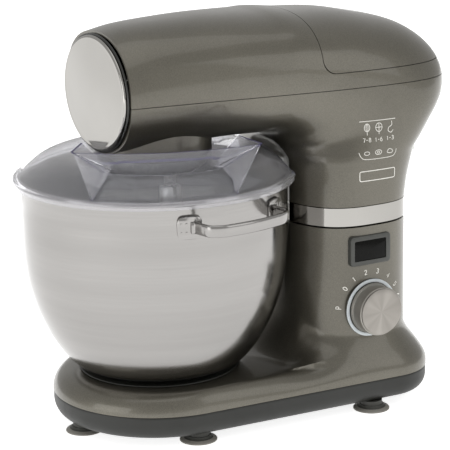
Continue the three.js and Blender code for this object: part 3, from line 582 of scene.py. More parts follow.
FLAKE = node_group("metal flake", [("Flakes per metre", NUMBER, 2600.0),
                                   ("Flake tone", NUMBER, 0.25), ("Drift tone", NUMBER, 0.1)],
                   [("Tone", NUMBER)], build_flake)
HANDLING = node_group("handling marks", [("Film per metre", NUMBER, 22.0),
                                         ("Clean", NUMBER, 0.2), ("Dull", NUMBER, 0.3),
                                         ("Wipe", NUMBER, 0.04)],
                      [("Roughness", NUMBER)], build_handling)
GRAIN = node_group("moulded grain", [("Grains per metre", NUMBER, 1500.0)],
                   [("Height", NUMBER), ("Tone", NUMBER)], build_grain)
LINES = node_group("brush lines", [("Along", VECTOR, None), ("Lines", NUMBER, 1.0),
                                   ("Bands", NUMBER, 0.1)],
                   [("Height", NUMBER), ("Tone", NUMBER), ("Band", NUMBER)], build_lines)
WEAR = node_group("edge rub", [("Edge from", NUMBER, 0.52), ("Edge to", NUMBER, 0.62),
                               ("Amount", NUMBER, 0.5)], [("Wear", NUMBER)], build_wear)


# ---------------------------------------------------------------- materials
class Finish:
    """A material under construction: its nodes, its Principled shader and short helpers."""

    def __init__(self, name, colour, **shader_values):
        self.material = bpy.data.materials.new(name)
        self.material.use_nodes = True
        self.tree = self.material.node_tree
        self.shader = self.tree.nodes["Principled BSDF"]
        self.shader.inputs["Base Color"].default_value = (*linear(colour), 1)
        for key, value in shader_values.items():
            self.shader.inputs[key.replace("_", " ")].default_value = value
        self.material.diffuse_color = (*linear(colour), 1)

    def add(self, kind, values=None, **settings):
        node = self.tree.nodes.new(kind)
        for key, value in settings.items():
            setattr(node, key, value)
        self.feed(node, values or {})
        return node.outputs

    def group(self, group, **values):
        node = self.tree.nodes.new("ShaderNodeGroup")
        node.node_tree = group
        self.feed(node, {key.replace("_", " "): value for key, value in values.items()})
        return node.outputs

    def feed(self, node, values):
        for key, value in values.items():
            if hasattr(value, "is_linked"):
                self.tree.links.new(value, node.inputs[key])
            else:
                node.inputs[key].default_value = value

    def set(self, key, out):
        self.tree.links.new(out, self.shader.inputs[key])

    def blend(self, factor, first, second):
        """Colour between two sRGB colours by a factor."""
        mix = self.tree.nodes.new("ShaderNodeMix")
        mix.data_type = "RGBA"
        self.tree.links.new(factor, mix.inputs["Factor"])
        for socket, colour in ((mix.inputs[6], first), (mix.inputs[7], second)):
            if hasattr(colour, "is_linked"):
                self.tree.links.new(colour, socket)
            else:
                socket.default_value = (*linear(colour), 1)
        return mix.outputs[2]

    def bump(self, height, strength, distance):
        out = self.add("ShaderNodeBump", {"Height": height, "Strength": strength,
                                          "Distance": distance})["Normal"]
        self.set("Normal", out)


def linear(colour):
    """sRGB 0-255 to scene values."""
    return tuple((c / 255 / 12.92) if c / 255 <= 0.04045 else ((c / 255 + 0.055) / 1.055) ** 2.4
                 for c in colour)


def round_axis(finish, centre, across):
    """(radius, angle, height) of the surface about an axis, in metres and turns."""
    where = finish.add("ShaderNodeTexCoord")["Object"]
    moved = finish.add("ShaderNodeVectorMath", {0: where, 1: centre},
                       operation="SUBTRACT")["Vector"]
    parts = finish.add("ShaderNodeSeparateXYZ", {"Vector": moved})
    a, b, height = {"Z": ("X", "Y", "Z"), "X": ("Y", "Z", "X")}[across]
    flat = finish.add("ShaderNodeCombineXYZ", {"X": parts[a], "Y": parts[b]})["Vector"]
    radius = finish.add("ShaderNodeVectorMath", {0: flat}, operation="LENGTH")["Value"]
    angle = finish.add("ShaderNodeMath", {0: parts[b], 1: parts[a]},
                       operation="ARCTAN2")["Value"]
    return radius, angle, parts[height]


def make_paint():
    f = Finish("taupe metallic lacquer", (104, 97, 88), Metallic=0.72, Coat_Weight=0.6,
               Coat_Roughness=0.07, Coat_IOR=1.5)
    tone = f.group(FLAKE, Flakes_per_metre=2600.0, Flake_tone=0.45, Drift_tone=0.22)["Tone"]
    f.set("Base Color", f.blend(tone, (84, 81, 72), (118, 114, 103)))
    f.set("Roughness", f.group(HANDLING, Film_per_metre=14.0, Clean=0.36, Dull=0.42,
                               Wipe=0.03)["Roughness"])
    peel = f.add("ShaderNodeTexNoise", {"Vector": f.add("ShaderNodeTexCoord")["Object"],
                                        "Scale": 320.0, "Detail": 2.0})["Fac"]
    f.bump(peel, 0.035, 0.0006)
    return f.material


def make_moulding(name, dark, light, roughness, grains, depth):
    """Grained plastic or rubber with a slightly rubbed edge."""
    f = Finish(name, dark, Roughness=roughness)
    grain = f.group(GRAIN, Grains_per_metre=grains)
    wear = f.group(WEAR, Amount=0.5)["Wear"]
    body = f.blend(grain["Tone"], dark, light)
    rubbed = tuple(min(255, c + 22) for c in light)
    f.set("Base Color", f.blend(wear, body, rubbed))
    f.set("Roughness", f.group(HANDLING, Film_per_metre=30.0, Clean=roughness - 0.05,
                               Dull=roughness + 0.08, Wipe=0.05)["Roughness"])
    f.bump(grain["Height"], depth, 0.0003)
    return f.material


def make_bright(name, colour, clean, dull):
    """Plated metal: almost clean, with a trace of wiping."""
    f = Finish(name, colour, Metallic=1.0)
    f.set("Roughness", f.group(HANDLING, Film_per_metre=26.0, Clean=clean, Dull=dull,
                               Wipe=0.03)["Roughness"])
    tone = f.group(FLAKE, Flakes_per_metre=700.0, Flake_tone=0.0, Drift_tone=1.0)["Tone"]
    f.set("Base Color", f.blend(tone, colour, tuple(c - 10 for c in colour)))
    return f.material


def make_spun_steel():
    """Polished steel with the fine rings that spinning and polishing leave."""
    f = Finish("spun stainless steel", (206, 203, 198), Metallic=1.0)
    radius, angle, height = round_axis(f, place(0, 0, 0), "Z")
    along = f.add("ShaderNodeCombineXYZ", {"X": radius, "Y": height, "Z": f.add(
        "ShaderNodeMath", {0: angle, 1: 0.0006}, operation="MULTIPLY")["Value"]})["Vector"]
    lines = f.group(LINES, Along=along, Lines=2600.0, Bands=60.0)
    f.set("Base Color", f.blend(lines["Tone"], (146, 144, 142), (174, 172, 170)))
    rough = f.add("ShaderNodeMapRange", {"Value": lines["Band"], "From Min": 0.3,
                                         "From Max": 0.7, "To Min": 0.12,
                                         "To Max": 0.2})["Result"]
    f.set("Roughness", rough)
    f.bump(lines["Height"], 0.10, 0.00012)
    return f.material


def make_knob_face():
    """Face turned and brushed outwards from the middle; its broad fans of lighter and darker colour
    round the middle are a painted sheen, standing in for how light fans over the brushing.
    """
    f = Finish("fan brushed face", (196, 190, 182), Metallic=1.0)
    radius, angle, _ = round_axis(f, place(0, KNOB_Y, KNOB_Z), "X")
    along = f.add("ShaderNodeCombineXYZ", {"X": f.add(
        "ShaderNodeMath", {0: angle, 1: 1.0}, operation="MULTIPLY")["Value"],
        "Y": f.add("ShaderNodeMath", {0: radius, 1: 4.0},
                   operation="MULTIPLY")["Value"]})["Vector"]
    lines = f.group(LINES, Along=along, Lines=46.0, Bands=1.4)
    # Colour by the broad bands: painted sheen in fans over the face, not a colour the metal itself
    # has.
    f.set("Base Color", f.blend(lines["Band"], (118, 114, 109), (170, 166, 160)))
    f.set("Roughness", f.add("ShaderNodeMapRange", {"Value": lines["Height"], "To Min": 0.3,
                                                    "To Max": 0.5})["Result"])
    f.bump(lines["Height"], 0.18, 0.0001)
    return f.material


def make_knob_side():
    """Dark anodised side with lines round it."""
    f = Finish("dark anodised side", (92, 90, 84), Metallic=0.7)
    radius, angle, height = round_axis(f, place(0, KNOB_Y, KNOB_Z), "X")
    along = f.add("ShaderNodeCombineXYZ", {"X": height, "Y": radius, "Z": f.add(
        "ShaderNodeMath", {0: angle, 1: 0.0008}, operation="MULTIPLY")["Value"]})["Vector"]
    lines = f.group(LINES, Along=along, Lines=3200.0, Bands=240.0)
    f.set("Base Color", f.blend(lines["Tone"], (146, 143, 136), (194, 190, 182)))
    f.set("Roughness", f.add("ShaderNodeMapRange", {"Value": lines["Height"], "To Min": 0.3,
                                                    "To Max": 0.46})["Result"])
    f.bump(lines["Height"], 0.12, 0.0001)
    return f.material


def make_metal(name, dark, light, roughness, grains, depth, metallic=1.0):
    """Cast or machined metal seen mostly inside the casing."""
    f = Finish(name, dark, Metallic=metallic)
    grain = f.group(GRAIN, Grains_per_metre=grains)
    wear = f.group(WEAR, Amount=0.7)["Wear"]
    body = f.blend(grain["Tone"], dark, light)
    f.set("Base Color", f.blend(wear, body, tuple(min(255, c + 30) for c in light)))
    f.set("Roughness", f.group(HANDLING, Film_per_metre=40.0, Clean=roughness - 0.06,
                               Dull=roughness + 0.1, Wipe=0.06)["Roughness"])
    f.bump(grain["Height"], depth, 0.0003)
    return f.material


def make_clear(name, colour, roughness, passing):
    """Clear moulding; `passing` is the share of light that goes through, and the rest is diffuse
    base colour, a painted milkiness that lightens the moulding.
    """
    f = Finish(name, colour, Transmission_Weight=passing, IOR=1.46, Coat_Weight=0.0)
    f.set("Roughness", f.group(HANDLING, Film_per_metre=30.0, Clean=roughness,
                               Dull=roughness + 0.03, Wipe=0.02)["Roughness"])
    open_way = f.tree.nodes.new("ShaderNodeBsdfTransparent")
    open_way.inputs["Color"].default_value = (0.9, 0.9, 0.92, 1)
    path = f.tree.nodes.new("ShaderNodeLightPath")
    mix = f.tree.nodes.new("ShaderNodeMixShader")
    f.tree.links.new(path.outputs["Is Shadow Ray"], mix.inputs["Fac"])
    f.tree.links.new(f.shader.outputs["BSDF"], mix.inputs[1])
    f.tree.links.new(open_way.outputs["BSDF"], mix.inputs[2])
    f.tree.links.new(mix.outputs["Shader"], f.tree.nodes["Material Output"].inputs["Surface"])
    return f.material


def make_window():
    """Tinted display window with a faint cloud under it."""
    f = Finish("tinted window", (8, 8, 7), Specular_IOR_Level=0.12)
    grain = f.group(GRAIN, Grains_per_metre=420.0)
    f.set("Base Color", f.blend(grain["Tone"], (7, 7, 6), (15, 15, 13)))
    f.set("Roughness", f.group(HANDLING, Film_per_metre=60.0, Clean=0.1, Dull=0.18,
                               Wipe=0.03)["Roughness"])
    return f.material


def make_winding():
    """Enamelled wire laid round the motor."""
    f = Finish("enamelled winding", (150, 96, 58), Metallic=0.7)
    _, angle, height = round_axis(f, place(0, MOTOR_Y, 0), "Z")
    along = f.add("ShaderNodeCombineXYZ", {"X": height, "Y": f.add(
        "ShaderNodeMath", {0: angle, 1: 0.001}, operation="MULTIPLY")["Value"]})["Vector"]
    lines = f.group(LINES, Along=along, Lines=1800.0, Bands=300.0)
    f.set("Base Color", f.blend(lines["Height"], (96, 54, 32), (186, 124, 74)))
    f.set("Roughness", f.add("ShaderNodeMapRange", {"Value": lines["Height"], "To Min": 0.3,
                                                    "To Max": 0.5})["Result"])
    f.bump(lines["Height"], 0.5, 0.0004)
    return f.material


def make_board():
    """Lacquered circuit board with a faint copper pattern."""
    f = Finish("lacquered board", (40, 84, 52), Coat_Weight=0.4, Coat_Roughness=0.2)
    where = f.add("ShaderNodeTexCoord")["Object"]
    tracks = f.add("ShaderNodeTexBrick", {"Vector": where, "Scale": 160.0,
                                          "Mortar Size": 0.03})["Fac"]
    f.set("Base Color", f.blend(tracks, (36, 78, 48), (62, 118, 70)))
    f.set("Roughness", f.group(HANDLING, Clean=0.4, Dull=0.55)["Roughness"])
    f.bump(tracks, 0.2, 0.0003)
    return f.material


PAINT = make_paint()
SKIRT = make_moulding("dark grained plastic", (23, 24, 20), (31, 32, 28), 0.5, 1800.0, 0.12)
RING_BLACK = make_moulding("gloss dark plastic", (30, 30, 28), (40, 40, 37), 0.2, 1200.0, 0.03)
BEZEL = make_moulding("grey satin plastic", (55, 56, 53), (66, 67, 63), 0.42, 1500.0, 0.06)
CUP_RUBBER = make_moulding("grey cup rubber", (118, 116, 110), (138, 135, 128), 0.6, 900.0, 0.14)
STEM_RUBBER = make_moulding("dark stem rubber", (48, 48, 44), (62, 62, 57), 0.6, 900.0, 0.14)
CHROME = make_bright("bright plating", (166, 164, 160), 0.06, 0.11)
STEEL = make_spun_steel()
KNOB_SIDE = make_knob_side()
KNOB_FACE = make_knob_face()
DIAL = make_moulding("pale dial plastic", (190, 197, 200), (206, 212, 215), 0.4, 1600.0, 0.04)
LEVER = make_moulding("pale lever plastic", (208, 211, 206), (224, 226, 222), 0.42, 1600.0, 0.06)
# The real guard is clear: its pale 9% diffuse share is painted brightness standing in for the lit
# bowl seen through it.
CLEAR = make_clear("clear moulding", (240, 240, 244), 0.02, 0.91)
CLEAR_EDGE = make_clear("clear moulding edge", (84, 78, 128), 0.2, 0.25)
CAST = make_metal("cast alloy", (150, 151, 149), (184, 185, 183), 0.4, 800.0, 0.2)
MACHINED = make_metal("machined steel", (150, 150, 147), (186, 185, 181), 0.28, 2600.0, 0.08)
BLACK = make_moulding("black moulding", (24, 24, 24), (36, 36, 35), 0.45, 1500.0, 0.12)
BELT = make_moulding("belt rubber", (20, 20, 20), (30, 30, 30), 0.7, 1100.0, 0.2)
WINDOW = make_window()
WINDING = make_winding()
BOARD = make_board()
PRINT = make_moulding("white print", (212, 210, 202), (226, 224, 217), 0.5, 3000.0, 0.03)


# ---------------------------------------------------------------- base
def base_pieces():
    relief = bowl_clearance(4.5)
    shell = base_body("base_casing", 0, PAINT_Z, SPLIT_Z - 0.3, 264, 44)
    hollow = base_body("hollow", WALL, PAINT_Z - 5, SPLIT_Z - WALL - 0.3, 120, 20)
    combine(hollow, bowl_clearance(4.5 + WALL))
    cut(shell, relief, hollow)
    cut(shell, block("deck_opening", (-57, 184, SPLIT_Z - 8), (57, 215, SPLIT_Z + 1)))
    cut(shell, block("hook_slot", (-8, 171, SPLIT_Z - 8), (8, 186, SPLIT_Z + 5)))
    cut(shell, turned("ring_seat", [(0, 38), (61.6, 38), (61.6, 52), (0, 52)], segments=128))
    cut(shell, block("cord_hole", (-9, 214, 60), (9, 245, 78)))
    cut(shell, block("display_hole", (SIDE_X - 8, 147.5, 138), (SIDE_X + 8, 176.5, 152)))
    edge = column_slice("edge", -1.3, SPLIT_Z, SPLIT_Z + 4, 96)
    combine(edge, block("behind_hinge", (-100, HINGE_Y - 1, SPLIT_Z - 1), (100, 260, 172)),
            "INTERSECT")
    for angle in range(0, TILT_MAX + 2, 3):
        swept = turn_about(copy_of(edge, "swept"), (0, HINGE_Y, HINGE_Z), "X", -angle)
        combine(shell, swept)
    bpy.data.objects.remove(edge)
    fitted(shell, "base", "paint", PAINT, "base_shell")

    levels = [(11.4, TRAY_Z)]
    for k in range(1, 13):
        turn = math.pi / 2 * k / 12
        levels.append((0.4 + 11 * (1 - math.sin(turn)), TRAY_Z + 13 * (1 - math.cos(turn))))
    levels += [(0.4, 27.5), (0.4, 29.2), (0.9, 29.7)]
    tray = loft("dark_tray", [[(x, y, z) for x, y in foot_outline(inset, 264)]
                              for inset, z in levels])
    fitted(tray, "base", "tray_plastic", SKIRT, "base_tray", angle=50)


def suction_foot(name, x, y):
    """Flared cup on a dark stem, hollow below, with a moulded step half way up."""
    profile = [(0, 2.6), (8, 2.3), (13.6, 0.7), (15.2, 0), (16, 0.25), (16, 0.9), (15.5, 1.5),
               (12.6, 2.7), (10.8, 4.2), (10.6, 4.9), (9.8, 5.1), (9.4, 6), (9.5, 8.7), (0, 8.7)]
    foot = turned("cup_" + name, profile, upright(x, y), 64)
    fitted(foot, "base", "rubber", [CUP_RUBBER, STEM_RUBBER], name, angle=40)
    for face in foot.data.polygons:
        if face.center.z > 3.4 * MM:
            face.material_index = 1


FEET = {"foot_front": (0, -74), "foot_mid_right": (72, -2), "foot_mid_left": (-72, -2),
        "foot_rear_right": (86, 164), "foot_rear_left": (-86, 164)}


def lock_ring():
    """Bayonet ring: a low lip with three gaps for the bowl's lugs, on a floor."""
    lip = turned("lock_ring", [(59.7, 40), (60.7, 40), (60.7, 48.6), (69.2, 48.6),
                               (69.6, 48.9), (69.2, 49.5), (68.6, 49.7), (60.2, 49.7),
                               (59.7, 49.3)], segments=160)
    for k in range(3):
        gap = block("gap", (58, -7, 44), (60.4, 7, 50))
        combine(lip, turn_about(gap, (0, 0, 0), "Z", 15 + 120 * k))
    floor = turned("floor", [(10, 38), (60.7, 38), (60.7, 40.1), (10, 40.1)], segments=160)
    fitted(join(lip, floor), "base", "tray_plastic", SKIRT, "bowl_lock_ring")


base_pieces()
for foot_name, (foot_x, foot_y) in FEET.items():
    suction_foot(foot_name, foot_x, foot_y)
lock_ring()


# ---------------------------------------------------------------- bowl
def bowl_pieces():
    wall = smooth_path(BOWL_PROFILE, 6) + [(BOWL_R, 190), (BOWL_R, RIM_Z - 4.6)]
    inner = [(r - BOWL_WALL, z + (0.9 if z < 200 else 1.2)) for r, z in reversed(wall)]
    middle_r, middle_z, bead = BOWL_R + 0.9, RIM_Z - 1.5, 1.5
    rim = []
    for k in range(13):
        a = math.radians(-70 + 250 * k / 12)
        rim.append((middle_r + bead * math.cos(a), middle_z + bead * math.sin(a)))
    profile = [(0, BOWL_BOTTOM_Z)] + wall + rim + inner + [(0, BOWL_BOTTOM_Z + BOWL_WALL)]
    fitted(turned("steel_bowl", profile, segments=224), "bowl", "stainless", STEEL,
           "mixing_bowl", angle=60)

    foot = turned("bowl_foot", [(50, 41), (56.4, 41), (57, 41.6), (57, 49.7), (50, 49.7)],
                  segments=160)
    for k in range(3):
        lug = block("lug", (55.5, -6, 42), (58.6, 6, 45))
        combine(foot, turn_about(bevelled(lug, 0.5), (0, 0, 0), "Z", 40 + 120 * k), "UNION")
    fitted(foot, "bowl", "stainless", STEEL, "bowl_foot_ring")


def bearing(degrees, radius, z):
    angle = math.radians(degrees)
    return (radius * math.sin(angle), -radius * math.cos(angle), z)


def bowl_handle():
    """Strap bent out from two plates; the strap's path is one smooth line."""
    start, end, z, plate_r, bar_r = 78, 121, 196, BOWL_R + 0.3, 135
    route = [(start - 1, plate_r + 1.4), (start + 0.8, plate_r + 2.6),
             (start + 2.6, plate_r + 12), (start + 4.2, bar_r - 3.2), (start + 8.5, bar_r)]
    for k in range(1, 6):
        route.append((start + 8.5 + (end - start - 17) * k / 6, bar_r))
    route += [(start + end - at, r) for at, r in reversed(route[:5])]
    middle = [bearing(at, r, z) for at, r in smooth_path(route, 7)]
    rings = []
    for i, (x, y, _) in enumerate(middle):
        ahead, behind = middle[min(i + 1, len(middle) - 1)], middle[max(i - 1, 0)]
        tangent = Vector((ahead[0] - behind[0], ahead[1] - behind[1], 0)).normalized()
        out = Vector((tangent.y, -tangent.x, 0))
        ring = []
        for k in range(24):
            c, s = super_point(2 * math.pi * k / 24, 3.2)
            ring.append((x + out.x * 1.9 * c, y + out.y * 1.9 * c, z + 4.9 * s))
        rings.append(ring)
    strap = loft("strap", rings)
    plates = []
    for at in (start - 1.5, end + 1.5):
        outline = []
        for k in range(32):
            c, s = super_point(2 * math.pi * k / 32, 4)
            outline.append((at + 5.2 * c, z + 9.4 * s))
        sheets = [[bearing(a, r, h) for a, h in outline]
                  for r in (plate_r, plate_r + 1.2)]
        small = [bearing(at + (a - at) * 0.95, plate_r + 1.6, z + (h - z) * 0.95)
                 for a, h in outline]
        plates.append(loft("plate", sheets + [small]))
        side = -1 if at < 100 else 1
        for dot in (1.4, 3.6):
            for height in (-3.6, 3.6):
                x, y, h = bearing(at + side * dot, plate_r + 1.5, z + height)
                spot = turned("spot", [(0, -0.3), (0.95, -0.3), (0.8, 0.25), (0, 0.4)],
                              sideways(0, 0, 0), 16)
                turn_about(spot, (0, 0, 0), "Z", at + side * dot - 90)
                spot.data.transform(Matrix.Translation(Vector((x, y, h)) * MM))
                plates.append(spot)
    handle = join(strap, *plates)
    fitted(handle, "bowl", "stainless", STEEL, "bowl_handle", angle=40)


bowl_pieces()
bowl_handle()


# ---------------------------------------------------------------- head
def head_pieces():
    relief = bowl_clearance(4.5)
    inner_relief = bowl_clearance(4.5 + WALL)
    skin = head_body("head_skin", 0)
    combine(skin, relief, keep_tool=True)
    hollow = head_body("hollow", WALL, 96, 2.0)
    combine(hollow, inner_relief, keep_tool=True)
    combine(skin, hollow, keep_tool=True)

    upper = copy_of(skin, "upper_casing")
    combine(upper, block("above", (-FAR, -FAR, SEAM_Z + SEAM_HALF), (FAR, FAR, FAR)),
            "INTERSECT")
    combine(upper, cover_region(-SEAM_HALF))
    core = head_body("core", WALL - 0.2, 96, 2.0)
    combine(core, inner_relief, keep_tool=True)
    deck = block("deck", (-FAR, COVER_FRONT_Y - 2, COVER_BOTTOM_Z - 6),
                 (FAR, FAR, COVER_BOTTOM_Z - 3))
    wall = block("wall", (-FAR, COVER_FRONT_Y - 3.2, COVER_BOTTOM_Z - 6),
                 (FAR, COVER_FRONT_Y - 0.3, FAR))
    join(deck, wall)
    combine(deck, core, "INTERSECT")
    cut(deck, turned("port_hole", [(0, 285), (20, 285), (20, 310), (0, 310)],
                     upright(0, MOTOR_Y), 96))
    collar = turned("collar", [(20, 295), (24, 295), (24, 298.4), (23.4, 299), (20.6, 299),
                               (20, 298.4)], upright(0, MOTOR_Y), 96)
    join(deck, collar)
    join(upper, deck)
    fitted(upper, "head", "paint", PAINT, "head_upper_shell")

    cover = copy_of(skin, "lift_off_cover")
    combine(cover, cover_region(SEAM_HALF), "INTERSECT")
    fitted(cover, "cover", "paint", PAINT, "rear_cover")

    lower = skin
    lower.name = "lower_casing"
    combine(lower, block("below", (-FAR, -FAR, -FAR), (FAR, FAR, SEAM_Z - SEAM_HALF)),
            "INTERSECT")
    boss = turned("boss", [(46.3, 236.6), (46.9, 236), (48.9, 236), (49.5, 236.6), (49.5, 275),
                           (46.3, 275)], segments=128)
    high = copy_of(hollow, "high")
    combine(high, block("over", (-60, -60, 251), (60, 60, 290)), "INTERSECT")
    combine(boss, high)
    join(lower, boss)
    cut(lower, turned("hub_opening", [(0, 230), (46.3, 230), (46.3, 251), (0, 251)],
                      segments=128))
    cut(lower, block("lever_slot", (-21.5, 215, LEVER_Z - 9), (21.5, 245, LEVER_Z + 6)))
    for tool in (relief, inner_relief, hollow):
        bpy.data.objects.remove(tool)
    fitted(lower, "head", "paint", PAINT, "head_lower_shell")


def column_band():
    band = column_slice("bright_band", 0, SPLIT_Z + 0.8, BAND_TOP_Z - 0.35, 200, 0.5)
    inner = column_slice("inner", WALL, SPLIT_Z + 3.3, BAND_TOP_Z + 1, 96)
    combine(inner, bowl_clearance(4.5 + WALL))
    cut(band, bowl_clearance(4.5), inner)
    cut(band, block("hinge_opening", (-57, 184, SPLIT_Z - 0.2), (57, 215, SPLIT_Z + 4.8)))
    cut(band, block("hook_slot", (-8, 171, SPLIT_Z - 8), (8, 186, SPLIT_Z + 5)))
    fitted(band, "head", "bright_trim", CHROME, "column_band")


NOSE_MIDDLE_Z = (NOSE_BOTTOM_Z + 341.5) / 2 - 0.4


def oval_layers(name, layers, count=160):
    rings = []
    for half_x, half_z, y in layers:
        rings.append([(half_x * math.cos(2 * math.pi * i / count), y,
                       NOSE_MIDDLE_Z + half_z * math.sin(2 * math.pi * i / count))
                      for i in range(count)])
    return loft(name, rings)


def nose_pieces():
    ring_layers = []
    for k in range(9):
        a = math.pi * k / 8
        ring_layers.append((57.4 + 1.4 * math.sin(a), 48.2 + 1.4 * math.sin(a),
                            NOSE_Y - 1.3 + 1.0 * math.cos(a)))
    ring = oval_layers("dark_nose_ring", ring_layers)
    cut(ring, oval_layers("hole", [(40, 32, NOSE_Y - 4), (40, 32, NOSE_Y + 8)]))
    fitted(ring, "head", "tray_plastic", RING_BLACK, "nose_ring", angle=50)
    edge = [(56.0, 47.1, -2.35), (56.8, 47.9, -2.7), (57, 48.1, -3.4), (56.6, 47.7, -4.2),
            (55.6, 46.7, -4.75), (54.6, 45.7, -4.85), (53.6, 44.7, -4.75)]
    dome = [(53.2 * s, 44.3 * s, -4.8 - 2.2 * math.cos(s * math.pi / 2))
            for s in (0.97, 0.9, 0.8, 0.66, 0.5, 0.34, 0.18, 0.05)]
    cap = oval_layers("bright_nose_cap", [(x, z, NOSE_Y + y) for x, z, y in edge + dome])
    fitted(cap, "head", "bright_trim", CHROME, "nose_cap", angle=60)


head_pieces()
column_band()
nose_pieces()


# ---------------------------------------------------------------- splash guard
CHUTE_BEARING = 69
CHUTE_FOOT_Z, CHUTE_TOP_Z = 233, 256
GUARD_WALL = 2
GUARD_REAR_Y = 96        # the dome is cut off flat here, in front of the column
MOUTH_CLEARANCE = 1.6    # between the chute's wall and the mouth in the dome
LEG_SET_BACK = 0.6       # the fin starts this far inside its own line
LEG_FOOT = {1: 55.5, -1: 62}
LEG_TOP = {1: 77, -1: 74}


def chute_point(d, t, z):
    """Point in the chute's own frame: d out from the bowl axis, t along the rim."""
    a = math.radians(CHUTE_BEARING)
    return (d * math.sin(a) + t * math.cos(a), -d * math.cos(a) + t * math.sin(a), z)


CHUTE_TOP = [(50, -63), (87, -75), (100, -38), (104, 0), (100, 38), (88, 78), (50, 64)]
CHUTE_FOOT = [(54, -42), (74, -46), (84, -24), (87, 0), (84, 24), (74, 46), (54, 42)]


def eased(points, reach, steps=5):
    """Open path with its sharp corners rounded over the given reach."""
    path = [points[0]]
    for before, corner, after in zip(points, points[1:], points[2:]):
        a = Vector(before) - Vector(corner)
        b = Vector(after) - Vector(corner)
        start = Vector(corner) + a.normalized() * min(reach, a.length * 0.45)
        end = Vector(corner) + b.normalized() * min(reach, b.length * 0.45)
        for k in range(steps):
            t = k / (steps - 1)
            path.append(tuple((1 - t) ** 2 * start + 2 * t * (1 - t) * Vector(corner)
                              + t * t * end))
    path.append(points[-1])
    return path


def chute_rows(extra):
    """Rows of the chute wall from its foot to its flared top edge, moved out by `extra`."""
    foot, top = eased(CHUTE_FOOT, 5), eased(CHUTE_TOP, 5)
    rows = []
    for k in range(9):
        t = k / 8
        row = []
        for f, p in zip(foot, top):
            d, s = f[0] + (p[0] - f[0]) * t, f[1] + (p[1] - f[1]) * t
            away = Vector((d - 70, s)).normalized() * extra
            row.append(chute_point(d + away.x, s + away.y,
                                   CHUTE_FOOT_Z + (CHUTE_TOP_Z - CHUTE_FOOT_Z) * t))
        rows.append(row)
    return rows


def sheet_between(name, near, far):
    """Closed solid between two grids of points of the same size."""
    rows, columns = len(near), len(near[0])
    points = [p for row in near for p in row] + [p for row in far for p in row]
    shift = rows * columns
    faces = []
    for r in range(rows - 1):
        for c in range(columns - 1):
            a = r * columns + c
            quad = (a, a + 1, a + columns + 1, a + columns)
            faces.append(quad)
            faces.append(tuple(i + shift for i in reversed(quad)))
    rim = ([(0, c) for c in range(columns)] + [(r, columns - 1) for r in range(1, rows)]
           + [(rows - 1, c) for c in range(columns - 2, -1, -1)]
           + [(r, 0) for r in range(rows - 2, -1, -1)])
    for (r0, c0), (r1, c1) in zip(rim, rim[1:]):
        a, b = r0 * columns + c0, r1 * columns + c1
        faces.append((b, a, a + shift, b + shift))
    return solid(name, points, faces)


def leg_sheet(side):
    """Fin that stands on the rim and carries a corner of the chute."""
    foot, top = LEG_FOOT[side], LEG_TOP[side]
    outer = [(103 - 15.8 * k / 9, foot + (top - foot) * k / 9, 219.8 + 36 * k / 9)
             for k in range(10)]
    inner = smooth_path([(97.5, foot - 3, 221.4), (91.5, 53, 229), (85, 47, 236),
                         (80, 42, 244)], 3)
    rows = []
    for k in range(4):
        t = k / 3
        rows.append([tuple(a + (b - a) * t for a, b in zip(p, q)) for p, q in zip(inner, outer)])
    near, far = [[[chute_point(d + step, side * t, z) for d, t, z in row] for row in rows]
                 for step in (-LEG_SET_BACK, GUARD_WALL - LEG_SET_BACK)]
    return sheet_between("leg", near, far)


GUARD_LINE = [(119.6, 212.4), (120, 215.5), (119.4, 218.4), (113, 221.6), (107, 227), (97, 234),
              (84, 238.4), (70, 240), (49.9, 240)]
GUARD_INNER = [(49.9, 238), (69.6, 238), (83.4, 236.4), (96, 232), (105.4, 225.6),
               (112.2, 219.7), (117.6, 217), (118, 212.4)]


def mark_edges(piece, test):
    for face in piece.data.polygons:
        if test(face):
            face.material_index = 1


def splash_guard():
    line = smooth_path(GUARD_LINE, 4) + smooth_path(GUARD_INNER, 4)
    dome = turned("clear_guard", line, segments=192)
    mouth_rows = chute_rows(GUARD_WALL + MOUTH_CLEARANCE)
    foot, top = mouth_rows[0], mouth_rows[-1]
    low = [(x, y, z - 10) for x, y, z in foot]
    cut(dome, loft("mouth", [low, foot, [(x, y, z + 1) for x, y, z in top]]))
    cut(dome, block("rear", (-GUARD_R - 5, GUARD_REAR_Y, 200), (GUARD_R + 5, GUARD_R + 5, 250)))
    fitted(dome, "head", "clear_plastic", [CLEAR, CLEAR_EDGE], "splash_guard", angle=40)
    rear_y = place(0, GUARD_REAR_Y, 0).y

    def edge(face):
        radius = math.hypot(face.center.x - AXIS_X, face.center.y - AXIS_Y) / MM
        cut_face = abs(face.center.y - rear_y) < 0.05 * MM
        mouth = abs(face.normal.z) < 0.35 and radius < 100
        return cut_face or mouth
    mark_edges(dome, edge)

    rows = chute_rows(0)
    chute = sheet_between("clear_chute", rows, chute_rows(GUARD_WALL))
    join(chute, leg_sheet(1), leg_sheet(-1))
    fitted(chute, "head", "clear_plastic", [CLEAR, CLEAR_EDGE], "pouring_chute", angle=40)

    def chute_edge(face):
        height = face.center.z / MM
        narrow = face.area < 12 * MM * MM and abs(face.normal.z) > 0.8
        return narrow or height > CHUTE_TOP_Z - 0.1
    mark_edges(chute, chute_edge)


splash_guard()


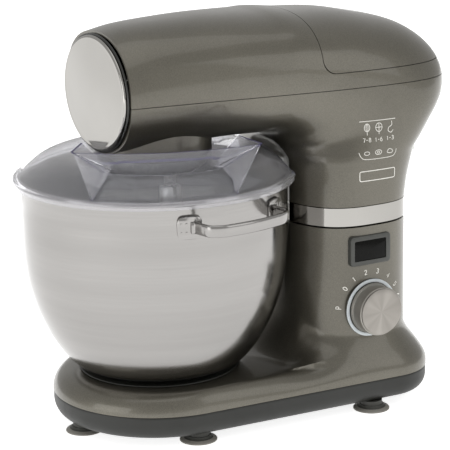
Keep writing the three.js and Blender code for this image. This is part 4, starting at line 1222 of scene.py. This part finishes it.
# ---------------------------------------------------------------- controls
def speed_knob():
    x = SIDE_X + 1.6
    r, length = KNOB_R, KNOB_LENGTH
    side = turned("knob_side", [(3.1, 11.8), (3.1, 0.2), (r + 0.4, 0.2), (r + 0.6, 0.5),
                                (r + 0.5, 2.2), (r, 3), (r, length - 1.3),
                                (r - 0.25, length - 0.5), (r - 0.9, length), (0, length),
                                (0, 11.8)], sideways(x, KNOB_Y, KNOB_Z), 160)
    fitted(side, "knob", "knob_plastic", KNOB_SIDE, "speed_knob", angle=30)
    face = turned("knob_face", [(0, 0.3), (r - 1.3, 0.3), (r - 1.1, 0.5), (r - 1.2, 1.0),
                                (r - 1.8, 1.3), (r - 6, 1.15), (2, 1.0), (0, 1.0)],
                  sideways(x + length, KNOB_Y, KNOB_Z), 160)
    fitted(face, "knob", "knob_face", KNOB_FACE, "knob_cap", angle=30)
    ring = turned("dial_surround", [(22.7, 0.3), (25.4, 0.3), (25.5, 0.8), (25.1, 1.45),
                                    (24.2, 1.6), (23.2, 1.5), (22.7, 1.2)],
                  sideways(SIDE_X, KNOB_Y, KNOB_Z), 160)
    fitted(ring, "base", "dial_plastic", DIAL, "dial_ring", angle=40)


def rounded_plate(name, y0, y1, z0, z1, x0, x1, radius, soften=0.4):
    """Plate on the flank with round corners and a softened front edge."""
    def outline(inset):
        points = []
        for cy, cz, start in ((y1 - radius, z1 - radius, 0), (y0 + radius, z1 - radius, 90),
                              (y0 + radius, z0 + radius, 180), (y1 - radius, z0 + radius, 270)):
            for k in range(7):
                a = math.radians(start + 15 * k)
                points.append((cy + (radius - inset) * math.cos(a),
                               cz + (radius - inset) * math.sin(a)))
        return points
    levels = [(0, x0), (0, x1 - soften), (soften * 0.3, x1 - soften * 0.3), (soften, x1)]
    return loft(name, [[(x, y, z) for y, z in outline(inset)] for inset, x in levels])


def display():
    frame_plate = rounded_plate("display_surround", 141.2, 182.5, 131.8, 158.2, SIDE_X - 3,
                                SIDE_X + 1.4, 3.5, 1.3)
    recess = rounded_plate("recess", 145.2, 177.6, 136.0, 154.0, SIDE_X - 2, SIDE_X + 4, 1.0)
    combine(frame_plate, recess)
    fitted(frame_plate, "base", "tray_plastic", BEZEL, "display_bezel")
    window = rounded_plate("display_glass", 145.5, 177.3, 136.3, 153.7, SIDE_X - 3, SIDE_X + 0.9,
                           0.8, 0.25)
    fitted(window, "base", "display_plastic", WINDOW, "display_window")


def release_lever():
    """Flat tab with a round end, grooved across its top, that stands out behind the column."""
    half = LEVER_THICK / 2
    outline = [(-LEVER_HALF, LEVER_Y - 5), (-LEVER_HALF, LEVER_TIP_Y - 10)]
    for k in range(1, 24):
        a = math.pi * (1 - k / 24)
        outline.append((LEVER_HALF * math.cos(a), LEVER_TIP_Y - 10 + 10 * math.sin(a)))
    outline += [(LEVER_HALF, LEVER_TIP_Y - 10), (LEVER_HALF, LEVER_Y - 5)]
    lever = loft("release_tab", [[(x, y, z) for x, y in outline]
                                 for z in (LEVER_Z - half, LEVER_Z + half)])
    bevelled(lever, 1.6, 4)
    bore = turned("bore", [(0, -30), (2.6, -30), (2.6, 30), (0, 30)],
                  sideways(0, LEVER_Y, LEVER_Z), 32)
    cut(lever, bore)
    for k in range(4):
        groove = turned("groove", [(0, -13), (0.7, -13), (0.7, 13), (0, 13)],
                        sideways(0, LEVER_TIP_Y - 13 + 3 * k, LEVER_Z + half + 0.2), 16)
        cut(lever, groove)
    fitted(lever, "lever", "lever_plastic", LEVER, "release_lever", angle=40)


def cord_inlet():
    gland = block("cord_inlet", (-8.7, 208, 60.3), (8.7, 236, 77.7))
    bevelled(gland, 1.2, 3)
    mouth = turned("mouth", [(0, -12), (5.6, -12), (4.2, -9), (4, -6), (4, 30), (0, 30)],
                   sideways(0, 0, 0), 48)
    turn_about(mouth, (0, 0, 0), "Z", -90)
    mouth.data.transform(Matrix.Translation(Vector((0, 225, 69)) * MM))
    combine(gland, mouth)
    fitted(gland, "base", "moulded_black", BLACK, "cord_gland", angle=40)


speed_knob()
display()
release_lever()
cord_inlet()


# ---------------------------------------------------------------- prints on the flank
def flank_of(name):
    """How far out a casing's flank stands at (y, z)."""
    skin = bpy.data.objects[name].data
    tree = BVHTree.FromPolygons([v.co for v in skin.vertices],
                                [f.vertices[:] for f in skin.polygons])

    def reach(y, z):
        hit = tree.ray_cast(place(150, y, z), Vector((-1, 0, 0)))[0]
        return (hit.x - AXIS_X) / MM
    return reach


def line_rings(path, width, flank_x, lift=0.04, proud=0.12):
    """Flat line of ink that follows a path of (y, z) points on a flank."""
    rings = []
    for i, (y, z) in enumerate(path):
        ahead, behind = path[min(i + 1, len(path) - 1)], path[max(i - 1, 0)]
        run = Vector((ahead[0] - behind[0], ahead[1] - behind[1])).normalized()
        side = Vector((-run.y, run.x)) * width / 2
        a, b = (y + side.x, z + side.y), (y - side.x, z - side.y)
        xa, xb = flank_x(*a), flank_x(*b)
        rings.append([(xa + lift, *a), (xb + lift, *b), (xb + proud, *b), (xa + proud, *a)])
    return rings


def ink(name, paths, width, casing, body):
    """One printed mark made of several lines."""
    points, faces = [], []
    flank_x = flank_of(casing)
    for path in paths:
        rings = line_rings(path, width, flank_x)
        start = len(points)
        points.extend(p for ring in rings for p in ring)
        for k in range(len(rings) - 1):
            for i in range(4):
                j = (i + 1) % 4
                faces.append(tuple(start + 4 * k + n for n in (i, j, j + 4, i + 4)))
        last = start + 4 * (len(rings) - 1)
        faces.append((start + 3, start + 2, start + 1, start))
        faces.append((last, last + 1, last + 2, last + 3))
    mark = solid(name, points, faces)
    fitted(mark, body, "display_plastic", PRINT, angle=20)


def arc_path(cy, cz, ry, rz, start, end, steps=14):
    return [(cy + ry * math.cos(math.radians(start + (end - start) * k / steps)),
             cz + rz * math.sin(math.radians(start + (end - start) * k / steps)))
            for k in range(steps + 1)]


# Strokes of the figures in a box one high and 0.6 wide, middle at (0, 0).
FIGURES = {
    "0": [arc_path(0, 0, 0.28, 0.48, 90, 450, 20)],
    "1": [[(-0.16, 0.32), (0.04, 0.5), (0.04, -0.5)]],
    "2": [smooth_path([(-0.26, 0.28), (-0.12, 0.47), (0.14, 0.46), (0.26, 0.24), (0.1, -0.06),
                       (-0.28, -0.49)], 4), [(-0.28, -0.48), (0.28, -0.48)]],
    "3": [smooth_path([(-0.25, 0.38), (0.0, 0.5), (0.24, 0.27), (-0.02, 0.03)], 5),
          smooth_path([(-0.02, 0.03), (0.28, -0.22), (0.0, -0.5), (-0.27, -0.37)], 5)],
    "4": [[(0.12, -0.5), (0.12, 0.5), (-0.29, -0.2), (0.3, -0.2)]],
    "5": [[(0.24, 0.48), (-0.2, 0.48), (-0.23, 0.06)],
          smooth_path([(-0.23, 0.06), (0.04, 0.13), (0.28, -0.16), (0.02, -0.5),
                       (-0.27, -0.38)], 5)],
    "6": [smooth_path([(0.2, 0.46), (-0.1, 0.36), (-0.28, -0.1)], 5),
          arc_path(0, -0.2, 0.28, 0.3, 180, 540, 16)],
    "7": [[(-0.27, 0.48), (0.28, 0.48), (-0.06, -0.5)]],
    "8": [arc_path(0, 0.25, 0.22, 0.24, -90, 270, 14), arc_path(0, -0.24, 0.28, 0.26, 90, 450, 16)],
    "P": [[(-0.22, -0.5), (-0.22, 0.48), (0.06, 0.48)], arc_path(0.04, 0.22, 0.24, 0.26, 90, -90),
          [(0.06, -0.04), (-0.22, -0.04)]],
    "-": [[(-0.18, 0.0), (0.18, 0.0)]],
}


def figures(text, y, z, height, turn=0):
    """Strokes for a row of figures centred at (y, z)."""
    paths = []
    pitch = 0.78 * height
    a = math.radians(turn)
    for i, letter in enumerate(text):
        shift = (i - (len(text) - 1) / 2) * pitch
        for stroke in FIGURES[letter]:
            path = []
            for u, v in stroke:
                u, v = u * height + shift, v * height
                path.append((y + u * math.cos(a) - v * math.sin(a),
                             z + u * math.sin(a) + v * math.cos(a)))
            paths.append(path)
    return paths


# Bearing in degrees and radius of each mark about the knob.
MARK_HEIGHT, MARK_LINE = 4.1, 0.62
DIAL_MARKS = {"P": (176, 29), "0": (141, 30.6), "1": (121, 31.6), "2": (99, 32.2),
              "3": (77, 32.2), "4": (54, 31.8), "5": (31, 31.6), "6": (9, 32), "7": (-13, 32),
              "8": (-35, 32)}


def dial_numbers():
    paths = []
    for figure, (at, radius) in DIAL_MARKS.items():
        a = math.radians(at)
        paths += figures(figure, KNOB_Y + radius * math.cos(a), KNOB_Z + radius * math.sin(a),
                         MARK_HEIGHT, at - 90)
    ink("dial_numbers", paths, MARK_LINE, "base_casing", "base")


def speed_guide():
    """Rule, three tool signs with their speeds, and a bowl with three foods."""
    rule = [[(153.3 + 34.8 * k / 12, 256.8) for k in range(13)]]
    whisk = [arc_path(160.4, 251.2, w, 3.4, 60, 480, 18) for w in (0.9, 2.5)]
    whisk += [[(160.4, 248.0), (160.4, 244.6)]]
    beater = [arc_path(171.6, 250.8, 3.1, 3.7, 80, 440, 20), [(171.6, 254.4), (171.6, 244.8)],
              [(168.8, 250.8), (174.4, 250.8)]]
    hook = [smooth_path([(184.2, 255), (184.4, 251.6), (181.4, 249.6), (180.8, 246.8),
                         (183.6, 245.2), (185.6, 247.2)], 5)]
    speeds = (figures("7-8", 160, 240.6, 3.4) + figures("1-6", 171, 240.4, 3.4)
              + figures("1-3", 182.6, 240.6, 3.4))
    bowl = [smooth_path([(151.6, 230.6), (153.4, 226.6), (157.4, 224.4), (170.4, 223.9),
                         (184.2, 224.3), (188.0, 226.6), (189.2, 230.4)], 6)]
    foods = [arc_path(159.2, 229.3, 2.6, 1.5, 0, 360, 16),
             arc_path(170.6, 229.4, 3.2, 2.0, 20, 380, 18),
             arc_path(170.6, 229.4, 1.2, 0.9, 20, 380, 12),
             smooth_path([(179.4, 228.4), (181.2, 231), (184.2, 230.4), (185.2, 228.2),
                          (182.2, 227.4), (179.4, 228.4)], 5)]
    lines = rule + whisk + beater + hook + speeds + bowl + foods
    ink("speed_guide", lines, 0.5, "lower_casing", "head")


def blank_plate():
    """Printed frame line round a plain field, without any lettering."""
    y0, y1, z0, z1, r = 152, 188, 205.6, 214, 1.6
    path = []
    for cy, cz, start in ((y1 - r, z1 - r, 0), (y0 + r, z1 - r, 90), (y0 + r, z0 + r, 180),
                          (y1 - r, z0 + r, 270)):
        path += arc_path(cy, cz, r, r, start, start + 90, 6)
    first = path[0]
    frame_line = []
    for a, b in zip(path, path[1:] + [first]):
        steps = max(int(math.dist(a, b) / 2), 1)
        frame_line += [(a[0] + (b[0] - a[0]) * k / steps, a[1] + (b[1] - a[1]) * k / steps)
                       for k in range(steps)]
    ink("blank_plate", [frame_line + [first]], 0.7, "lower_casing", "head")


dial_numbers()
speed_guide()
blank_plate()


# ---------------------------------------------------------------- beater and hub
def leaf_half_width():
    return curve([(62, 16), (66, 34), (76, 47), (92, 56), (112, 60), (140, 59), (162, 50),
                  (178, 32), (186, 14)])


def beater_slice(name, inset, half_thick, edge=0.0):
    """Leaf outline as a slab across Y, with rounded edges if `edge` is over 0."""
    width = leaf_half_width()
    low, high = 62 + inset, 186 - inset

    def outline(more):
        right = []
        for k in range(41):
            z = low + more + (high - low - 2 * more) * k / 40
            right.append((width(z) - inset - more, z))
        return right + [(-x, z) for x, z in reversed(right)]
    levels = [(edge, -half_thick), (edge * 0.3, -half_thick + edge * 0.3),
              (0, -half_thick + edge), (0, half_thick - edge),
              (edge * 0.3, half_thick - edge * 0.3), (edge, half_thick)]
    if edge == 0:
        levels = [(0, -half_thick), (0, half_thick)]
    return loft(name, [[(TOOL_X + x, y, z) for x, z in outline(more)] for more, y in levels])


def flat_beater():
    leaf = beater_slice("cast_beater", 0, 4, 1.6)
    windows = beater_slice("windows", 8, 9)
    cut(windows, block("spine", (TOOL_X - 4, -10, 60), (TOOL_X + 4, 10, 190)),
        block("low_bar", (-60, -10, 100), (120, 10, 106)),
        block("high_bar", (-60, -10, 138), (120, 10, 144)))
    cut(leaf, windows)
    socket = turned("socket", [(5.2, 212), (5.2, 190), (0, 190), (0, 176), (7.6, 176), (9, 179),
                               (9, 211.2), (8.4, 212)], upright(TOOL_X, 0), 64)
    join(leaf, socket)
    cut(leaf, block("pin_slot", (TOOL_X - 12, -1.9, 201.1), (TOOL_X + 12, 1.9, 213)))
    fitted(leaf, "tool", "cast_alloy", CAST, "flat_beater", angle=40)


def planet_hub():
    hub = turned("turning_hub", [(6.3, 224), (40.2, 224), (42, 224.6), (44.4, 227), (45, 228.6),
                                 (45, 238.5), (6.3, 238.5)], segments=128)
    cut(hub, turned("bore", [(0, 220), (5.1, 220), (5.1, 240), (0, 240)], upright(TOOL_X, 0), 48))
    fitted(hub, "hub", "cast_alloy", CAST, "planet_hub", angle=35)


flat_beater()
planet_hub()

# ---------------------------------------------------------------- CAD pieces that stay
KEPT = {
    CAST: ["drive_frame", "top_bearing_block", "hinge_bracket"],
    MACHINED: ["hinge_pin", "tilt_spring", "lever_pin", "latch_hook", "latch_catch",
               "lever_spring", "ring_gear", "planet_pinion", "main_shaft", "main_bearing",
               "motor_pulley", "motor_rotor", "tool_shaft", "drive_pin", "speed_encoder"],
    BLACK: ["large_pulley", "cooling_fan", "jug_coupling"],
    BELT: ["drive_belt"],
    WINDING: ["motor_stator"],
    BOARD: ["control_board"],
}
for kept_finish, kept_names in KEPT.items():
    for kept_name in kept_names:
        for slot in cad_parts[kept_name].material_slots:
            slot.material = kept_finish


# ---------------------------------------------------------------- floor and light
def floor_and_light():
    white = Finish("pale floor", (250, 250, 250), Roughness=0.9, Emission_Strength=0.8)
    white.shader.inputs["Emission Color"].default_value = (1, 1, 1, 1)
    grain = white.group(GRAIN, Grains_per_metre=120.0)
    white.set("Base Color", white.blend(grain["Tone"], (248, 248, 248), (252, 252, 252)))
    half = 6000
    floor = loft("floor", [[(-half, -half, z), (half, -half, z), (half, half, z),
                            (-half, half, z)] for z in (-20, -0.2)])
    floor.data.materials.append(white.material)

    world = bpy.data.worlds.new("studio")
    bpy.context.scene.world = world
    world.use_nodes = True
    nodes, links = world.node_tree.nodes, world.node_tree.links
    seen = nodes["Background"]
    seen.inputs["Color"].default_value = (1, 1, 1, 1)
    seen.inputs["Strength"].default_value = 1.0
    lit = nodes.new("ShaderNodeBackground")
    lit.inputs["Color"].default_value = (1.0, 0.995, 0.985, 1)
    lit.inputs["Strength"].default_value = 0.62
    path = nodes.new("ShaderNodeLightPath")
    mix = nodes.new("ShaderNodeMixShader")
    links.new(path.outputs["Is Camera Ray"], mix.inputs["Fac"])
    links.new(lit.outputs["Background"], mix.inputs[1])
    links.new(seen.outputs["Background"], mix.inputs[2])
    links.new(mix.outputs["Shader"], nodes["World Output"].inputs["Surface"])

    target = place(0, 80, 180)
    boxes = [("overhead_softbox", (200, -100, 1700), 1500, 1500, 4.5),
             ("side_softbox", (1500, 900, 900), 900, 1100, 3),
             ("nose_softbox", (300, -1700, 400), 1300, 900, 6)]
    for name, at, width, height, power in boxes:
        data = bpy.data.lights.new(name, "AREA")
        data.shape = "RECTANGLE"
        data.size, data.size_y = width * MM, height * MM
        data.energy = power
        lamp = bpy.data.objects.new(name, data)
        lamp.location = place(*at)
        lamp.rotation_euler = (target - lamp.location).to_track_quat("-Z", "Y").to_euler()
        bpy.context.scene.collection.objects.link(lamp)
    bpy.context.scene.view_settings.view_transform = "Standard"


floor_and_light()
